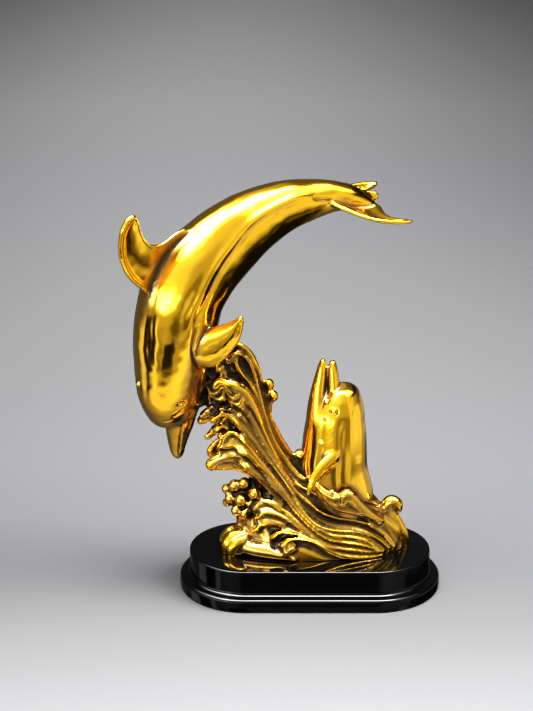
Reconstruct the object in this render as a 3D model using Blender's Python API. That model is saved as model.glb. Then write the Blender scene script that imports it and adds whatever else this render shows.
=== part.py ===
"""A cast ornament: one dolphin diving over a breaking wave, a second one rising out of it, on a black plinth.

Metres, +Z up. The origin is the middle of the plinth's underside, and the front is at -Y.
The casting is one solid and the plinth is another. The casting's free forms are drawn in
units of which it is 308 high, with their own origin in the middle of the plinth's top face.
"""

import math

import bmesh
import bpy
import numpy as np

# The casting, in metres
CASTING_HEIGHT = 0.308
SEAT_GAP = 0.0003

# The casting's own drawing units
DRAWN_HEIGHT = 308.0
UNIT = CASTING_HEIGHT / DRAWN_HEIGHT
FOOT_LENGTH = 158.0
FOOT_DEPTH = 64.0

# The plinth, in metres: a top tier that leaves a margin round the casting's foot, on a moulded lower tier
END_MARGIN = 0.0225
SIDE_MARGIN = 0.0165
TOP_TIER_HEIGHT = 0.020
LOWER_TIER_HEIGHT = 0.013
STEP_WIDTH = 0.0085
EDGE_RADIUS = 0.0008
SHOULDER_RADIUS = 0.0032
COVE_RADIUS = 0.0030
END_SEGMENTS = 24

PLINTH_HEIGHT = LOWER_TIER_HEIGHT + TOP_TIER_HEIGHT
TOP_LENGTH = FOOT_LENGTH * UNIT + 2 * END_MARGIN
TOP_DEPTH = FOOT_DEPTH * UNIT + 2 * SIDE_MARGIN

# How finely the fused casting is meshed
VOXEL = 1.5 * UNIT
SMOOTH_STEPS = 3
CASTING_TRIANGLES = 9400

# The diving dolphin from its tail to its forehead: x, y, z of the spine, half width, half height,
# and the way its left flank faces, in degrees from the front towards +X
DIVER = [
    (50, 48, 290, 9.0, 4.5, 18),
    (33, 43, 293, 11.5, 9.5, 18),
    (16, 38, 295, 12.5, 13.5, 20),
    (-7, 30, 293, 16.0, 18.2, 22),
    (-28, 21, 289, 20.0, 22.5, 24),
    (-49, 13, 280, 24.5, 26.9, 27),
    (-66, 6, 269, 28.0, 30.0, 30),
    (-81, 0, 256, 31.0, 32.4, 32),
    (-92, -4, 245, 33.0, 34.0, 34),
    (-103, -7, 227, 34.0, 34.0, 36),
    (-108, -8, 209, 34.0, 33.5, 39),
    (-112, -6, 188, 32.5, 32.2, 42),
    (-114, -2, 165, 30.0, 30.2, 45),
    (-117, 3, 141, 26.5, 28.0, 48),
    (-118, 6, 129, 23.0, 24.5, 50),
    (-120, 8, 119, 18.0, 18.5, 50),
    (-120, 9, 110, 9.5, 10.0, 50),
    (-120, 10, 106, 0.0, 0.0, 50),
]
DIVER_BEAK = [
    (-105, 8, 137, 19.5, 17.0, 50),
    (-106, 12, 124, 16.5, 14.5, 50),
    (-107, 16, 110, 13.0, 12.0, 50),
    (-109, 21, 95, 10.0, 9.4, 50),
    (-110, 25, 83, 7.4, 7.0, 50),
    (-111, 28, 73, 4.8, 4.6, 50),
    (-111, 30, 67, 0.0, 0.0, 50),
]

# The rising dolphin from inside the wave to its forehead, and its two jaws
RISER = [
    (30, 5, 10, 22.0, 24.0, 0),
    (26, 5, 42, 25.0, 27.5, 0),
    (20, 5, 70, 26.0, 28.0, 0),
    (20, 5, 91, 25.5, 27.0, 0),
    (21, 5, 113, 23.0, 24.5, 0),
    (24, 5, 127, 20.0, 20.5, 0),
    (26, 5, 136, 16.5, 16.0, 0),
    (27, 5, 143, 10.5, 10.5, 0),
    (27, 5, 147, 0.0, 0.0, 0),
]
RISER_UPPER_JAW = [
    (20, 5, 118, 11.0, 8.0, 0),
    (20, 5, 132, 8.5, 5.4, 0),
    (20, 5, 150, 6.6, 4.4, 0),
    (19, 5, 161, 4.8, 3.8, 0),
    (18, 5, 166, 2.6, 2.2, 0),
]
RISER_LOWER_JAW = [
    (9, 5, 100, 14.0, 12.0, 0),
    (5, 5, 122, 10.5, 8.4, 0),
    (5, 5, 138, 8.0, 6.0, 0),
    (7, 5, 152, 6.0, 4.4, 0),
    (9, 5, 163, 4.4, 3.2, 0),
    (10, 5, 168, 2.4, 1.8, 0),
]

# Fin outlines, leading and trailing edge from root to tip: distances out from the root and back towards the tail
DORSAL_FIN = (
    [(8, -15), (24, -10), (41, -2), (55, 4), (67, 13), (75, 24), (80, 38), (79, 48), (76, 52)],
    [(6, 52), (24, 53), (38, 38), (47, 34), (55, 36), (63, 42), (69, 48), (73, 52)],
)
FLIPPER = (
    [(-14, -9), (0, -10), (10, -7), (20, 4), (27, 16), (31, 27), (32, 42)],
    [(-14, 20), (-1, 22), (7, 27), (15, 32), (22, 37), (28, 42), (31, 45)],
)
FLUKE = (
    [(0, -30), (9, -24), (17, -15), (26, -4), (33, 8), (36, 20), (37, 30), (36, 36)],
    [(0, 16), (6, 22), (13, 22), (20, 22), (27, 26), (32, 33), (35, 36)],
)
RISER_FLIPPER = (
    [(-6, 6), (3, 11), (10, 17), (16, 24), (19, 28)],
    [(-6, -8), (4, -1), (11, 5), (17, 14), (20, 25)],
)

# The surface that the wave's ribs lie on, as level slices: z, left x, right x, middle y, half depth.
# The core below them is this much thinner all round.
SHELL = [
    (0, -64, 80, 1, 30),
    (13, -61, 78, 1, 29),
    (27, -60, 72, 1, 26),
    (40, -56, 60, 2, 23),
    (50, -51, 50, 3, 21),
    (59, -51, 18, 4, 19),
    (68, -53, 4, 5, 17),
    (77, -59, -9, 6, 16),
    (95, -61, -21, 7, 13),
    (113, -62, -30, 8, 11),
    (131, -66, -37, 8, 10),
    (149, -71, -41, 8, 9),
    (167, -70, -46, 8, 7),
    (180, -63, -56, 8, 4),
]
CORE_INSET = 3.5
GROOVE_DEPTH = 2.2
# The wall behind the curled tips, as level slices of the same kind
BACKING = [
    (74, -58, -30, 8, 6),
    (84, -68, -28, 9, 7),
    (98, -74, -30, 9, 8),
    (114, -78, -34, 9, 8),
    (130, -86, -38, 10, 8),
    (146, -92, -42, 10, 8),
    (160, -92, -46, 9, 8),
    (172, -84, -50, 8, 6),
    (179, -70, -56, 8, 3),
]

# The wave's ribs as seen from the front, each from its foot to its curled tip: x, z, and how far it stands off
# the shell, which is forwards and this much upwards
RISE = math.radians(20)
CREST_EDGE = [(0, 66, -4), (-9, 73, -8), (-18, 83, -9), (-26, 98, -8), (-32, 111, -7), (-38, 124, -7), (-42, 138, -7), (-43, 149, -6), (-46, 161, -4), (-51, 171, -3), (-58, 177, 0), (-66, 178, 2)]
CREST = [(-2, 65, 1), (-9, 70, 0), (-15, 76, 0), (-22, 86, 0), (-28, 96, 0), (-33, 107, 0), (-38, 123, 0), (-42, 138, 1), (-45, 148, 1), (-48, 157, 2), (-52, 166, 3), (-58, 172, 5), (-64, 171, 6), (-67, 166, 6)]
PLUME = [
    [(2, 61, 0), (-5, 66, 0), (-11, 71, -1), (-19, 80, -1), (-26, 90, -1), (-31, 100, -1), (-35, 111, -1), (-39, 122, -1), (-42, 131, -1), (-46, 140, -1), (-50, 147, 0), (-56, 154, 1), (-60, 161, 3), (-62, 168, 3)],
    [(72, 6, 0), (66, 16, 0), (56, 26, 0), (40, 38, 0), (24, 43, 0), (12, 48, 0), (2, 56, 0), (-7, 60, 0), (-15, 66, 0), (-22, 75, 0), (-28, 85, 0), (-33, 95, 0), (-38, 107, 0), (-42, 119, 1), (-46, 129, 2), (-51, 138, 4), (-58, 144, 7), (-66, 145, 12), (-75, 146, 15), (-78, 142, 15)],
    [(66, 5, 0), (57, 15, 0), (49, 20, 0), (41, 23, 0), (30, 25, 0), (20, 26, 0), (10, 29, 0), (2, 34, 0), (-5, 41, 0), (-10, 47, 0), (-14, 53, 0), (-19, 61, 0), (-25, 69, 0), (-32, 78, 0), (-40, 87, 1), (-47, 95, 3), (-53, 102, 6), (-60, 110, 10), (-67, 115, 13), (-75, 116, 15), (-80, 112, 15)],
    [(58, 4, 0), (50, 9, 0), (40, 13, 0), (30, 15, 0), (20, 17, 0), (11, 20, 0), (3, 26, 0), (-5, 33, 0), (-13, 41, 0), (-19, 48, 0), (-24, 55, 0), (-29, 62, 1), (-35, 69, 2), (-41, 76, 4), (-47, 82, 7), (-53, 87, 10), (-60, 90, 13), (-67, 91, 15), (-74, 88, 15)],
]
LIP = [(-24, 46, 0), (-29, 51, 0), (-34, 58, 1), (-40, 65, 3), (-46, 71, 6), (-53, 76, 10), (-61, 79, 13), (-70, 80, 15), (-78, 77, 15), (-82, 74, 14)]
# Slighter ribs that lie between those, and sink away where there is no room
BETWEEN = [
    [(70, 5, 0), (62, 16, 0), (52, 27, 0), (40, 32, 0), (25, 35, 0), (14, 38, 0), (7, 41, 0), (-2, 48, 0), (-9, 54, 0), (-14, 60, 0), (-21, 69, 0), (-28, 79, 0), (-34, 87, 0), (-40, 96, 1), (-46, 105, 2), (-52, 113, 4), (-58, 119, 7), (-65, 121, 10), (-73, 120, 12)],
    [(61, 4, 0), (55, 9, 0), (49, 14, 0), (39, 18, 0), (30, 20, 0), (20, 21, 0), (12, 24, 0), (4, 29, 0), (-5, 37, 0), (-13, 45, 0), (-19, 53, 0), (-24, 60, 0), (-30, 68, 1), (-37, 77, 2), (-44, 85, 4), (-50, 92, 7), (-56, 98, 10), (-62, 101, 12), (-68, 100, 14), (-72, 95, 14)],
]
LIP_UNDERSIDE = [(-38, 61, -2), (-46, 68, 2), (-54, 72, 6), (-63, 73, 10), (-72, 73, 12), (-79, 73, 13)]
FAN = [
    [(56, 4, 0), (46, 6, 0), (36, 8, 0), (25, 10, 0), (15, 13, 0), (6, 18, 0), (0, 23, 0), (-7, 29, 0), (-14, 35, 0), (-20, 40, 0), (-26, 44, 1), (-33, 47, 3), (-39, 46, 5), (-44, 44, 7), (-47, 39, 7)],
    [(-2, 22, -1), (-9, 27, 0), (-17, 32, 0), (-23, 35, 1), (-29, 37, 3), (-35, 38, 5), (-41, 36, 6), (-43, 32, 6)],
    [(-6, 21, -1), (-12, 24, 0), (-20, 27, 1), (-28, 29, 3), (-36, 29, 5), (-42, 27, 6), (-45, 23, 6)],
    [(2, 18, 0), (-5, 21, 1), (-11, 23, 2), (-17, 24, 3), (-23, 24, 4), (-28, 22, 4), (-30, 18, 4)],
]
ARCH = [(60, 1, 0), (50, 1, 0), (38, 2, 0), (28, 4, 0), (18, 8, 0), (9, 13, 1), (2, 17, 2), (-6, 19, 3), (-13, 19, 4), (-19, 17, 4), (-22, 12, 3)]
SLAB = [(-16, 1, -1), (-26, 3, -2), (-38, 4, -1), (-50, 4, 2), (-62, 5, 9)]
SWIRL = [(-30, 8, 0), (-36, 14, 0), (-45, 15, 2), (-54, 18, 6), (-57, 25, 8)]

# Curls and drops that stand clear of the shell: x, y, z, and the radius there or of the drop
FILLER = [(-44, 0, -4, 14.0), (-46, 0, 14, 13.0), (-46, 0, 32, 12.0), (-47, 2, 46, 10.0), (-44, 4, 58, 8.0)]
RIGHT_CURL = [(80, 4, 2, 5.0), (78, 2, 12, 5.0), (73, 0, 22, 5.5), (68, -2, 31, 6.0), (65, -2, 38, 6.5), (68, -3, 43, 6.0), (73, -4, 41, 5.0), (74, -4, 37, 3.5)]
COLLAR_CURL = [(58, -18, 32, 4.0), (47, -22, 42, 4.5), (38, -23, 51, 5.0), (32, -24, 57, 5.0), (28, -25, 60, 4.0), (28, -26, 56, 3.0)]
COLLAR = [(60, -8, 36, 3.5), (50, -18, 45, 3.5), (36, -23, 52, 3.0), (22, -24, 54, 3.0), (10, -20, 60, 3.5), (0, -12, 68, 4.0)]
STEM = [(-35, 9, 110, 4.0), (-34, 9, 122, 3.2), (-35, 9, 134, 3.6)]
BACK_CURLS = [
    [(-62, 10, 112, 5.0), (-80, 10, 116, 4.0), (-91, 8, 112, 3.6)],
    [(-62, 8, 101, 5.0), (-78, 6, 105, 4.0), (-85, 4, 99, 3.4)],
    [(-62, 6, 91, 5.0), (-76, 3, 94, 4.0), (-83, 1, 88, 3.4)],
    [(-68, 12, 136, 5.0), (-84, 10, 131, 4.4), (-95, 8, 124, 3.0)],
    [(-66, 8, 122, 4.5), (-80, 2, 124, 4.0), (-90, 0, 119, 3.0)],
]
ROCK = [(-58, -3, -4, 10.0), (-55, 0, 12, 8.5), (-54, 1, 26, 8.0), (-56, 1, 42, 10.0), (-55, 3, 54, 7.0)]
DROPS = [
    (-33, 9, 134, 4.2), (-36, 10, 142, 3.9), (-8, 8, 79, 7.0),
    (-54, -4, 54, 7.0), (-64, -2, 51, 6.5), (-69, 0, 46, 4.5), (-61, -8, 43, 5.5), (-66, -2, 38, 4.5),
    (-55, -12, 46, 5.0), (-46, -13, 53, 5.5), (-60, -8, 33, 4.2), (-53, -14, 35, 4.2), (-58, 0, 57, 6.0), (-71, 2, 51, 3.5),
    (-66, -6, 55, 3.8), (-61, -6, 59, 3.6), (-58, -11, 52, 4.0), (-50, -15, 42, 4.2),
    (-66, -10, 8, 9.5), (-72, -6, 12, 6.5), (-62, -14, 15, 5.5), (-74, -9, 6, 5.5), (-68, -16, 5, 5.0), (-64, -4, 18, 5.0),
    (-19, -28, 10, 4.0), (-14, -29, 14, 4.5), (-9, -29, 3, 4.5), (0, -30, 3, 4.0), (-24, -27, 15, 3.8),
    (22, -24, 57, 3.6), (17, -22, 60, 3.0), (25, -25, 52, 3.4), (52, -17, 40, 4.0), (57, -14, 35, 3.6), (47, -19, 46, 3.2),
]


def spaced(rows, count):
    """Points along a smooth curve through the rows, evenly spaced by their x, y and z."""
    rows = np.array(rows, float)
    steps = np.sqrt(np.linalg.norm(np.diff(rows[:, :3], axis=0), axis=1))
    knots = np.concatenate([[0.0], np.cumsum(steps)])
    slopes = np.gradient(rows, knots, axis=0, edge_order=1)
    fine = np.linspace(0.0, knots[-1], 24 * len(rows))
    span = np.clip(np.searchsorted(knots, fine, side="right") - 1, 0, len(rows) - 2)
    width = (knots[span + 1] - knots[span])[:, None]
    part = ((fine - knots[span]) / width[:, 0])[:, None]
    curve = (
        rows[span] * (2 * part**3 - 3 * part**2 + 1)
        + slopes[span] * width * (part**3 - 2 * part**2 + part)
        + rows[span + 1] * (3 * part**2 - 2 * part**3)
        + slopes[span + 1] * width * (part**3 - part**2)
    )
    run = np.concatenate([[0.0], np.cumsum(np.linalg.norm(np.diff(curve[:, :3], axis=0), axis=1))])
    even = np.linspace(0.0, run[-1], count)
    return np.column_stack([np.interp(even, run, column) for column in curve.T])


def unit(vectors):
    return vectors / np.maximum(np.linalg.norm(vectors, axis=-1, keepdims=True), 1e-9)


def frames(points, lateral):
    """Forward, left and up directions along a line, with left as near to the given directions as can be."""
    forward = unit(np.gradient(points, axis=0))
    left = unit(lateral - forward * np.sum(lateral * forward, axis=1, keepdims=True))
    return forward, left, np.cross(forward, left)


def loft(bm, rings):
    """A closed skin over rings of points, with a middle point closing each end."""
    rows = [[bm.verts.new(point) for point in ring] for ring in rings]
    sides = len(rings[0])
    for near, far in zip(rows, rows[1:]):
        for k in range(sides):
            bm.faces.new((near[k], near[(k + 1) % sides], far[(k + 1) % sides], far[k]))
    for row, ring, step in ((rows[0], rings[0], -1), (rows[-1], rings[-1], 1)):
        middle = bm.verts.new(np.mean(ring, axis=0))
        for k in range(sides):
            pair = (row[k], row[(k + 1) % sides])[::step]
            bm.faces.new((*pair, middle))


def tube(bm, points, half_width, half_height, lateral, sides=16):
    """A swept solid with elliptical sections, which may differ along it."""
    _, left, up = frames(points, lateral)
    angle = np.linspace(0.0, 2 * math.pi, sides, endpoint=False)
    across = np.cos(angle)[None, :, None] * left[:, None, :] * half_width[:, None, None]
    above = np.sin(angle)[None, :, None] * up[:, None, :] * half_height[:, None, None]
    loft(bm, points[:, None, :] + across + above)


def cord(bm, points, radius, knob=0.0):
    """A round rod along a line, with a ball at each end, the last one as big as the knob asks for."""
    points = np.asarray(points, float)
    radius = np.broadcast_to(np.asarray(radius, float), len(points))
    away = np.where(np.abs(np.gradient(points[:, 1])).max() > 3, [[0.3, 0.2, 1.0]], [[0.0, -1.0, 0.05]])
    tube(bm, points, radius, radius, np.repeat(away, len(points), axis=0), sides=12)
    ball(bm, points[0], radius[0])
    ball(bm, points[-1], max(radius[-1], knob))


def facing(degrees):
    """The direction a flank faces, for an angle from the front towards +X; it looks slightly down."""
    turn = np.radians(degrees)
    return np.column_stack([np.sin(turn), -np.cos(turn), np.full_like(turn, -0.2)])


def body(bm, stations, count=120):
    """A dolphin's body or jaw through its stations, rounded off at the last one. Gives its spine, for the fins."""
    rows = spaced(stations, count)
    lateral = facing(rows[:, 5])
    width = np.maximum(rows[:, 3], 0.4)
    height = np.maximum(rows[:, 4], 0.4)
    tube(bm, rows[:, :3], width, height, lateral, sides=28)
    return rows[:, :3], lateral


def place_on(spine, near):
    """The point of a spine nearest to a given one, with the forward, left and up directions there."""
    points, lateral = spine
    k = int(np.argmin(np.linalg.norm(points - np.array(near, float), axis=1)))
    forward, left, up = frames(points, lateral)
    return points[k], forward[k], left[k], up[k]


def fin(bm, origin, out, back, outline, thickness, rim, sag=0.0, count=30):
    """A blade between a leading and a trailing edge, flat in the middle, with a raised rim along the leading edge."""
    lead = spaced([(*point, 0.0) for point in outline[0]], count)
    trail = spaced([(*point, 0.0) for point in outline[1]], count)
    share = np.linspace(0.0, 1.0, count)
    side = unit(np.cross(out, back))
    drop = -sag * np.sin(math.pi * share)[:, None] * side
    edges = [origin + edge[:, :1] * out + edge[:, 1:2] * back + drop for edge in (lead, trail)]
    middle = (edges[0] + edges[1]) / 2
    chord = (edges[1] - edges[0]) / 2
    angle = np.linspace(0.0, 2 * math.pi, 20, endpoint=False)
    half = thickness * (1.0 - 0.5 * share)
    plate = np.sin(angle) * (1.0 - 0.3 * np.sin(angle) ** 2)
    rings = (
        middle[:, None, :]
        + np.cos(angle)[None, :, None] * chord[:, None, :]
        + plate[None, :, None] * (half[:, None] * side[None, :])[:, None, :]
    )
    loft(bm, rings)
    cord(bm, (edges[0] + 0.03 * (edges[1] - edges[0]))[3:], rim)


def ball(bm, centre, radius):
    made = bmesh.ops.create_icosphere(bm, subdivisions=2, radius=radius)
    bmesh.ops.translate(bm, verts=made["verts"], vec=centre)


def on_shell(rows, back=False):
    """Points of the wave's surface for rows of x, z and stand-off, seen from the front or from the back."""
    rows = np.array(rows, float)
    shell = np.array(SHELL, float)
    left, right, middle, deep = [np.interp(rows[:, 1], shell[:, 0], shell[:, k]) for k in (1, 2, 3, 4)]
    across = np.clip((rows[:, 0] - (left + right) / 2) / ((right - left) / 2), -1.0, 1.0)
    off = deep * np.sqrt(1.0 - across**2) + rows[:, 2] * math.cos(RISE)
    height = rows[:, 1] + rows[:, 2] * math.sin(RISE)
    return np.column_stack([rows[:, 0], middle + off * (1 if back else -1), height])


def rib(bm, line, foot, middle, tip, knob=0.0):
    """A rib of the wave along a line, with its radius at the foot, half way and at the tip."""
    radius = np.interp(np.linspace(0.0, 1.0, len(line)), [0.0, 0.45, 1.0], [foot, middle, tip])
    cord(bm, line, radius, knob)


def family(bm, lines, beside, widest, knob, back=False):
    """Ribs side by side, each as thick as the room beside it allows, and sunk to leave its crest on the shell."""
    for line in lines:
        room = np.min(
            [np.linalg.norm(line[:, None] - other[None], axis=2).min(axis=1) for other in beside if other is not line],
            axis=0,
        )
        radius = np.clip(0.44 * room, 1.0, widest)
        radius = np.convolve(np.pad(radius, 3, mode="edge"), np.full(7, 1 / 7), mode="valid")
        sunk = line.copy()
        sunk[:, 1] += (radius - 1.5) * (-1 if back else 1)
        cord(bm, sunk, radius, knob)


def drawn(rows, back=False, count=56):
    return spaced(on_shell(rows, back), count)


def carved(points, normals, lines, depth):
    """The points, sunk along their normals where they lie midway between two lines and face the front or the back."""
    near = np.full((2, len(points)), 1e3)
    for line in lines:
        apart = np.concatenate(
            [
                np.linalg.norm(part[:, None] - line[None], axis=2).min(axis=1)
                for part in np.array_split(points, len(points) // 4000 + 1)
            ]
        )
        near[1] = np.minimum(near[1], np.maximum(near[0], apart))
        near[0] = np.minimum(near[0], apart)
    pitch = near[0] + near[1]
    midway = np.clip((2.0 * near[0] / pitch - 0.35) / 0.65, 0.0, 1.0)
    within = np.clip((18.0 - pitch) / 5.0, 0.0, 1.0) * np.clip((np.abs(normals[:, 1]) - 0.2) / 0.3, 0.0, 1.0)
    sink = np.minimum(depth, 0.4 * pitch) * midway**2 * (3 - 2 * midway) * within
    return points - normals * sink[:, None]


def diving_dolphin(bm):
    spine = body(bm, DIVER)
    body(bm, DIVER_BEAK, 30)
    origin, forward, left, up = place_on(spine, (-103, -7, 227))
    fin(bm, origin, up, -forward, DORSAL_FIN, 4.6, 2.6)
    origin, forward, left, up = place_on(spine, (-112, -6, 188))
    root, droop = math.radians(7), math.radians(20)
    for hand in (1, -1):
        start = origin + 31 * (math.cos(root) * left * hand - math.sin(root) * up)
        out = math.cos(droop) * left * hand - math.sin(droop) * up
        fin(bm, start, out, -forward, FLIPPER, 5.0, 2.6)
    origin, forward, left, up = place_on(spine, (33, 43, 293))
    skew = math.radians(6)
    across = math.cos(skew) * left - math.sin(skew) * forward
    back = -math.cos(skew) * forward - math.sin(skew) * left
    for hand in (1, -1):
        fin(bm, origin + 4 * across, across * hand, back, FLUKE, 5.0, 2.5, sag=3.0 * hand)
    origin, forward, left, up = place_on(spine, (-117, 3, 141))
    for hand in (1, -1):
        ball(bm, origin + left * hand * 24.5 + up * 3.0 + forward * 6.0, 3.2)


def rising_dolphin(bm):
    body(bm, RISER)
    body(bm, RISER_UPPER_JAW, 30)
    body(bm, RISER_LOWER_JAW, 30)
    out, back = np.array([-0.86, -0.51, 0.0]), np.array([0.0, 0.0, -1.0])
    for hand in (1, -1):
        mirrored = np.array([1, hand, 1])
        fin(bm, np.array([14.0, 5.0, 90.0]) + np.array([0.0, -25.0 * hand, 0.0]), out * mirrored, back, RISER_FLIPPER, 4.0, 2.4)
    for hand in (1, -1):
        ball(bm, np.array([19.0, 5 - 21.5 * hand, 128.0]), 2.8)


def slab(bm, slices, inset):
    """A solid through level elliptical slices, this much thinner all round than they say."""
    rows = spaced([((low + high) / 2, y, z, (high - low) / 2, deep) for z, low, high, y, deep in slices], 60)
    angle = np.linspace(0.0, 2 * math.pi, 48, endpoint=False)
    wide = np.maximum(rows[:, 3:4] - inset, 1.5)
    deep = np.maximum(rows[:, 4:5] - inset, 1.5)
    loft(bm, rows[:, None, :3] + np.stack([np.cos(angle) * wide, np.sin(angle) * deep, 0 * angle * wide], axis=2))


def wave_lines(back):
    return [drawn(rows, back) for rows in [CREST, *PLUME, *FAN, ARCH, LIP]]


def wave(bm):
    slab(bm, SHELL, CORE_INSET)
    slab(bm, BACKING, 0.0)
    for back in (False, True):
        main = wave_lines(back)
        family(bm, main[:-1], main, 3.6, 3.8, back)
        slight = [drawn(rows, back) for rows in BETWEEN]
        family(bm, slight, [*main, *slight], 3.0, 3.4, back)
        rib(bm, drawn(LIP, back), 1.8, 3.6, 4.4, knob=5.0)
        rib(bm, drawn(LIP_UNDERSIDE, back), 2.5, 4.0, 3.6)
        rib(bm, drawn(SLAB, back), 4.5, 5.0, 5.5)
        rib(bm, drawn(SWIRL, back), 2.2, 2.6, 2.6)
    rib(bm, drawn(CREST_EDGE), 3.2, 3.4, 4.0)
    for rows in [ROCK, FILLER, RIGHT_CURL, COLLAR_CURL, COLLAR, STEM, *BACK_CURLS]:
        line = spaced(rows, 30)
        cord(bm, line[:, :3], line[:, 3])
    for x, y, z, radius in DROPS:
        ball(bm, (x, y, z), radius)


def sculpt(mesh):
    """Deepens the grooves between the wave's ribs."""
    count = len(mesh.vertices)
    points, normals = np.empty(3 * count), np.empty(3 * count)
    mesh.vertices.foreach_get("co", points)
    mesh.vertices.foreach_get("normal", normals)
    drawn_points = points.reshape(-1, 3) / UNIT - np.array([0.0, 0.0, PLINTH_HEIGHT / UNIT])
    lines = [*wave_lines(False), *wave_lines(True)]
    drawn_points = carved(drawn_points, normals.reshape(-1, 3), lines, GROOVE_DEPTH)
    points = (drawn_points + np.array([0.0, 0.0, PLINTH_HEIGHT / UNIT])) * UNIT
    mesh.vertices.foreach_set("co", points.ravel())
    mesh.update()


def outer_skin(bm):
    """Drops all but the largest connected piece: what is left over is the skin of a void inside the casting."""
    unseen = set(bm.verts)
    pieces = []
    while unseen:
        piece, edge = set(), [unseen.pop()]
        while edge:
            vert = edge.pop()
            piece.add(vert)
            for link in vert.link_edges:
                other = link.other_vert(vert)
                if other in unseen:
                    unseen.remove(other)
                    edge.append(other)
        pieces.append(piece)
    largest = max(pieces, key=len)
    bmesh.ops.delete(bm, geom=[v for piece in pieces if piece is not largest for v in piece], context="VERTS")


def casting():
    """The whole casting: every form fused into one skin, smoothed, cut flat underneath and thinned out."""
    bm = bmesh.new()
    wave(bm)
    diving_dolphin(bm)
    rising_dolphin(bm)
    bmesh.ops.recalc_face_normals(bm, faces=bm.faces)
    bmesh.ops.scale(bm, vec=(UNIT, UNIT, UNIT), verts=bm.verts)
    bmesh.ops.translate(bm, vec=(0, 0, PLINTH_HEIGHT), verts=bm.verts)
    rough = new_object("rough casting", bm)
    remesh = rough.modifiers.new("fuse", "REMESH")
    remesh.mode = "VOXEL"
    remesh.voxel_size = VOXEL
    smooth = rough.modifiers.new("smooth", "SMOOTH")
    smooth.factor = 0.5
    smooth.iterations = SMOOTH_STEPS
    mesh = evaluated_mesh(rough)
    bpy.data.objects.remove(rough)
    sculpt(mesh)
    fused = bmesh.new()
    fused.from_mesh(mesh)
    outer_skin(fused)
    cut = bmesh.ops.bisect_plane(
        fused,
        geom=fused.verts[:] + fused.edges[:] + fused.faces[:],
        plane_co=(0, 0, PLINTH_HEIGHT + SEAT_GAP),
        plane_no=(0, 0, -1),
        clear_outer=True,
    )
    rim = [part for part in cut["geom_cut"] if isinstance(part, bmesh.types.BMEdge)]
    bmesh.ops.holes_fill(fused, edges=rim)
    bmesh.ops.triangulate(fused, faces=fused.faces)
    count = len(fused.faces)
    made = new_object("dolphins_and_wave", fused)
    thin = made.modifiers.new("thin out", "DECIMATE")
    thin.ratio = CASTING_TRIANGLES / count
    made.data.shade_smooth()
    made.data.materials.append(material("gold_plated_resin", (0.83, 0.55, 0.09), 0.16, 1.0))
    return made


def stadium(length, depth, z):
    """A ring of points round a straight-sided outline with half-round ends."""
    radius = depth / 2
    straight = length / 2 - radius
    turn = np.linspace(-math.pi / 2, math.pi / 2, END_SEGMENTS + 1)
    right = np.column_stack([straight + radius * np.cos(turn), radius * np.sin(turn)])
    ring = np.vstack([right, -right])
    return np.column_stack([ring, np.full(len(ring), z)])


def plinth_profile():
    """Width outside the top tier's wall and height, from the underside up to the top face."""
    arc = np.linspace(0.0, math.pi / 2, 7)
    shoulder_z = LOWER_TIER_HEIGHT - COVE_RADIUS - SHOULDER_RADIUS
    shoulder_x = STEP_WIDTH - SHOULDER_RADIUS
    bottom = [(STEP_WIDTH - EDGE_RADIUS, 0.0), (STEP_WIDTH, EDGE_RADIUS)]
    shoulder = [(shoulder_x + SHOULDER_RADIUS * math.cos(a), shoulder_z + SHOULDER_RADIUS * math.sin(a)) for a in arc]
    cove = [
        (COVE_RADIUS * (1 - math.sin(a)), LOWER_TIER_HEIGHT - COVE_RADIUS * math.cos(a)) for a in arc
    ]
    top = [(-EDGE_RADIUS * (1 - math.cos(a)), PLINTH_HEIGHT - EDGE_RADIUS * (1 - math.sin(a))) for a in arc[::3]]
    return bottom + shoulder + cove + top


def plinth():
    bm = bmesh.new()
    rings = [stadium(TOP_LENGTH + 2 * x, TOP_DEPTH + 2 * x, z) for x, z in plinth_profile()]
    loft(bm, rings)
    bmesh.ops.dissolve_limit(bm, angle_limit=0.0001, verts=bm.verts, edges=bm.edges)
    bmesh.ops.recalc_face_normals(bm, faces=bm.faces)
    made = new_object("plinth", bm)
    made.data.shade_smooth()
    made.data.set_sharp_from_angle(angle=math.radians(30))
    made.data.materials.append(material("black_lacquer", (0.008, 0.008, 0.009), 0.08, 0.0))
    return made


def new_object(name, bm):
    mesh = bpy.data.meshes.new(name)
    bm.to_mesh(mesh)
    bm.free()
    made = bpy.data.objects.new(name, mesh)
    bpy.context.collection.objects.link(made)
    return made


def evaluated_mesh(obj):
    """The object's mesh with its modifiers applied."""
    graph = bpy.context.evaluated_depsgraph_get()
    return bpy.data.meshes.new_from_object(obj.evaluated_get(graph))


def material(name, colour, roughness, metallic):
    made = bpy.data.materials.new(name)
    made.use_nodes = True
    shader = made.node_tree.nodes["Principled BSDF"]
    shader.inputs["Base Color"].default_value = (*colour, 1.0)
    shader.inputs["Roughness"].default_value = roughness
    shader.inputs["Metallic"].default_value = metallic
    return made


def main():
    for old in list(bpy.data.objects):
        bpy.data.objects.remove(old)
    plinth()
    casting()


main()
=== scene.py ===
# %% [markdown]
# # A gold-plated dolphin ornament
# One dolphin dives over a breaking wave and another rises out of it. The real
# thing is a resin casting with a mirror-bright gold plating, glued to a plinth
# of black lacquered board. The script loads the plain solids as a frame, and
# models each visible piece round them with its carving and its finish.

import math

import bmesh
import bpy
import numpy as np
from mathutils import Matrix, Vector
from mathutils.bvhtree import BVHTree


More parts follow.
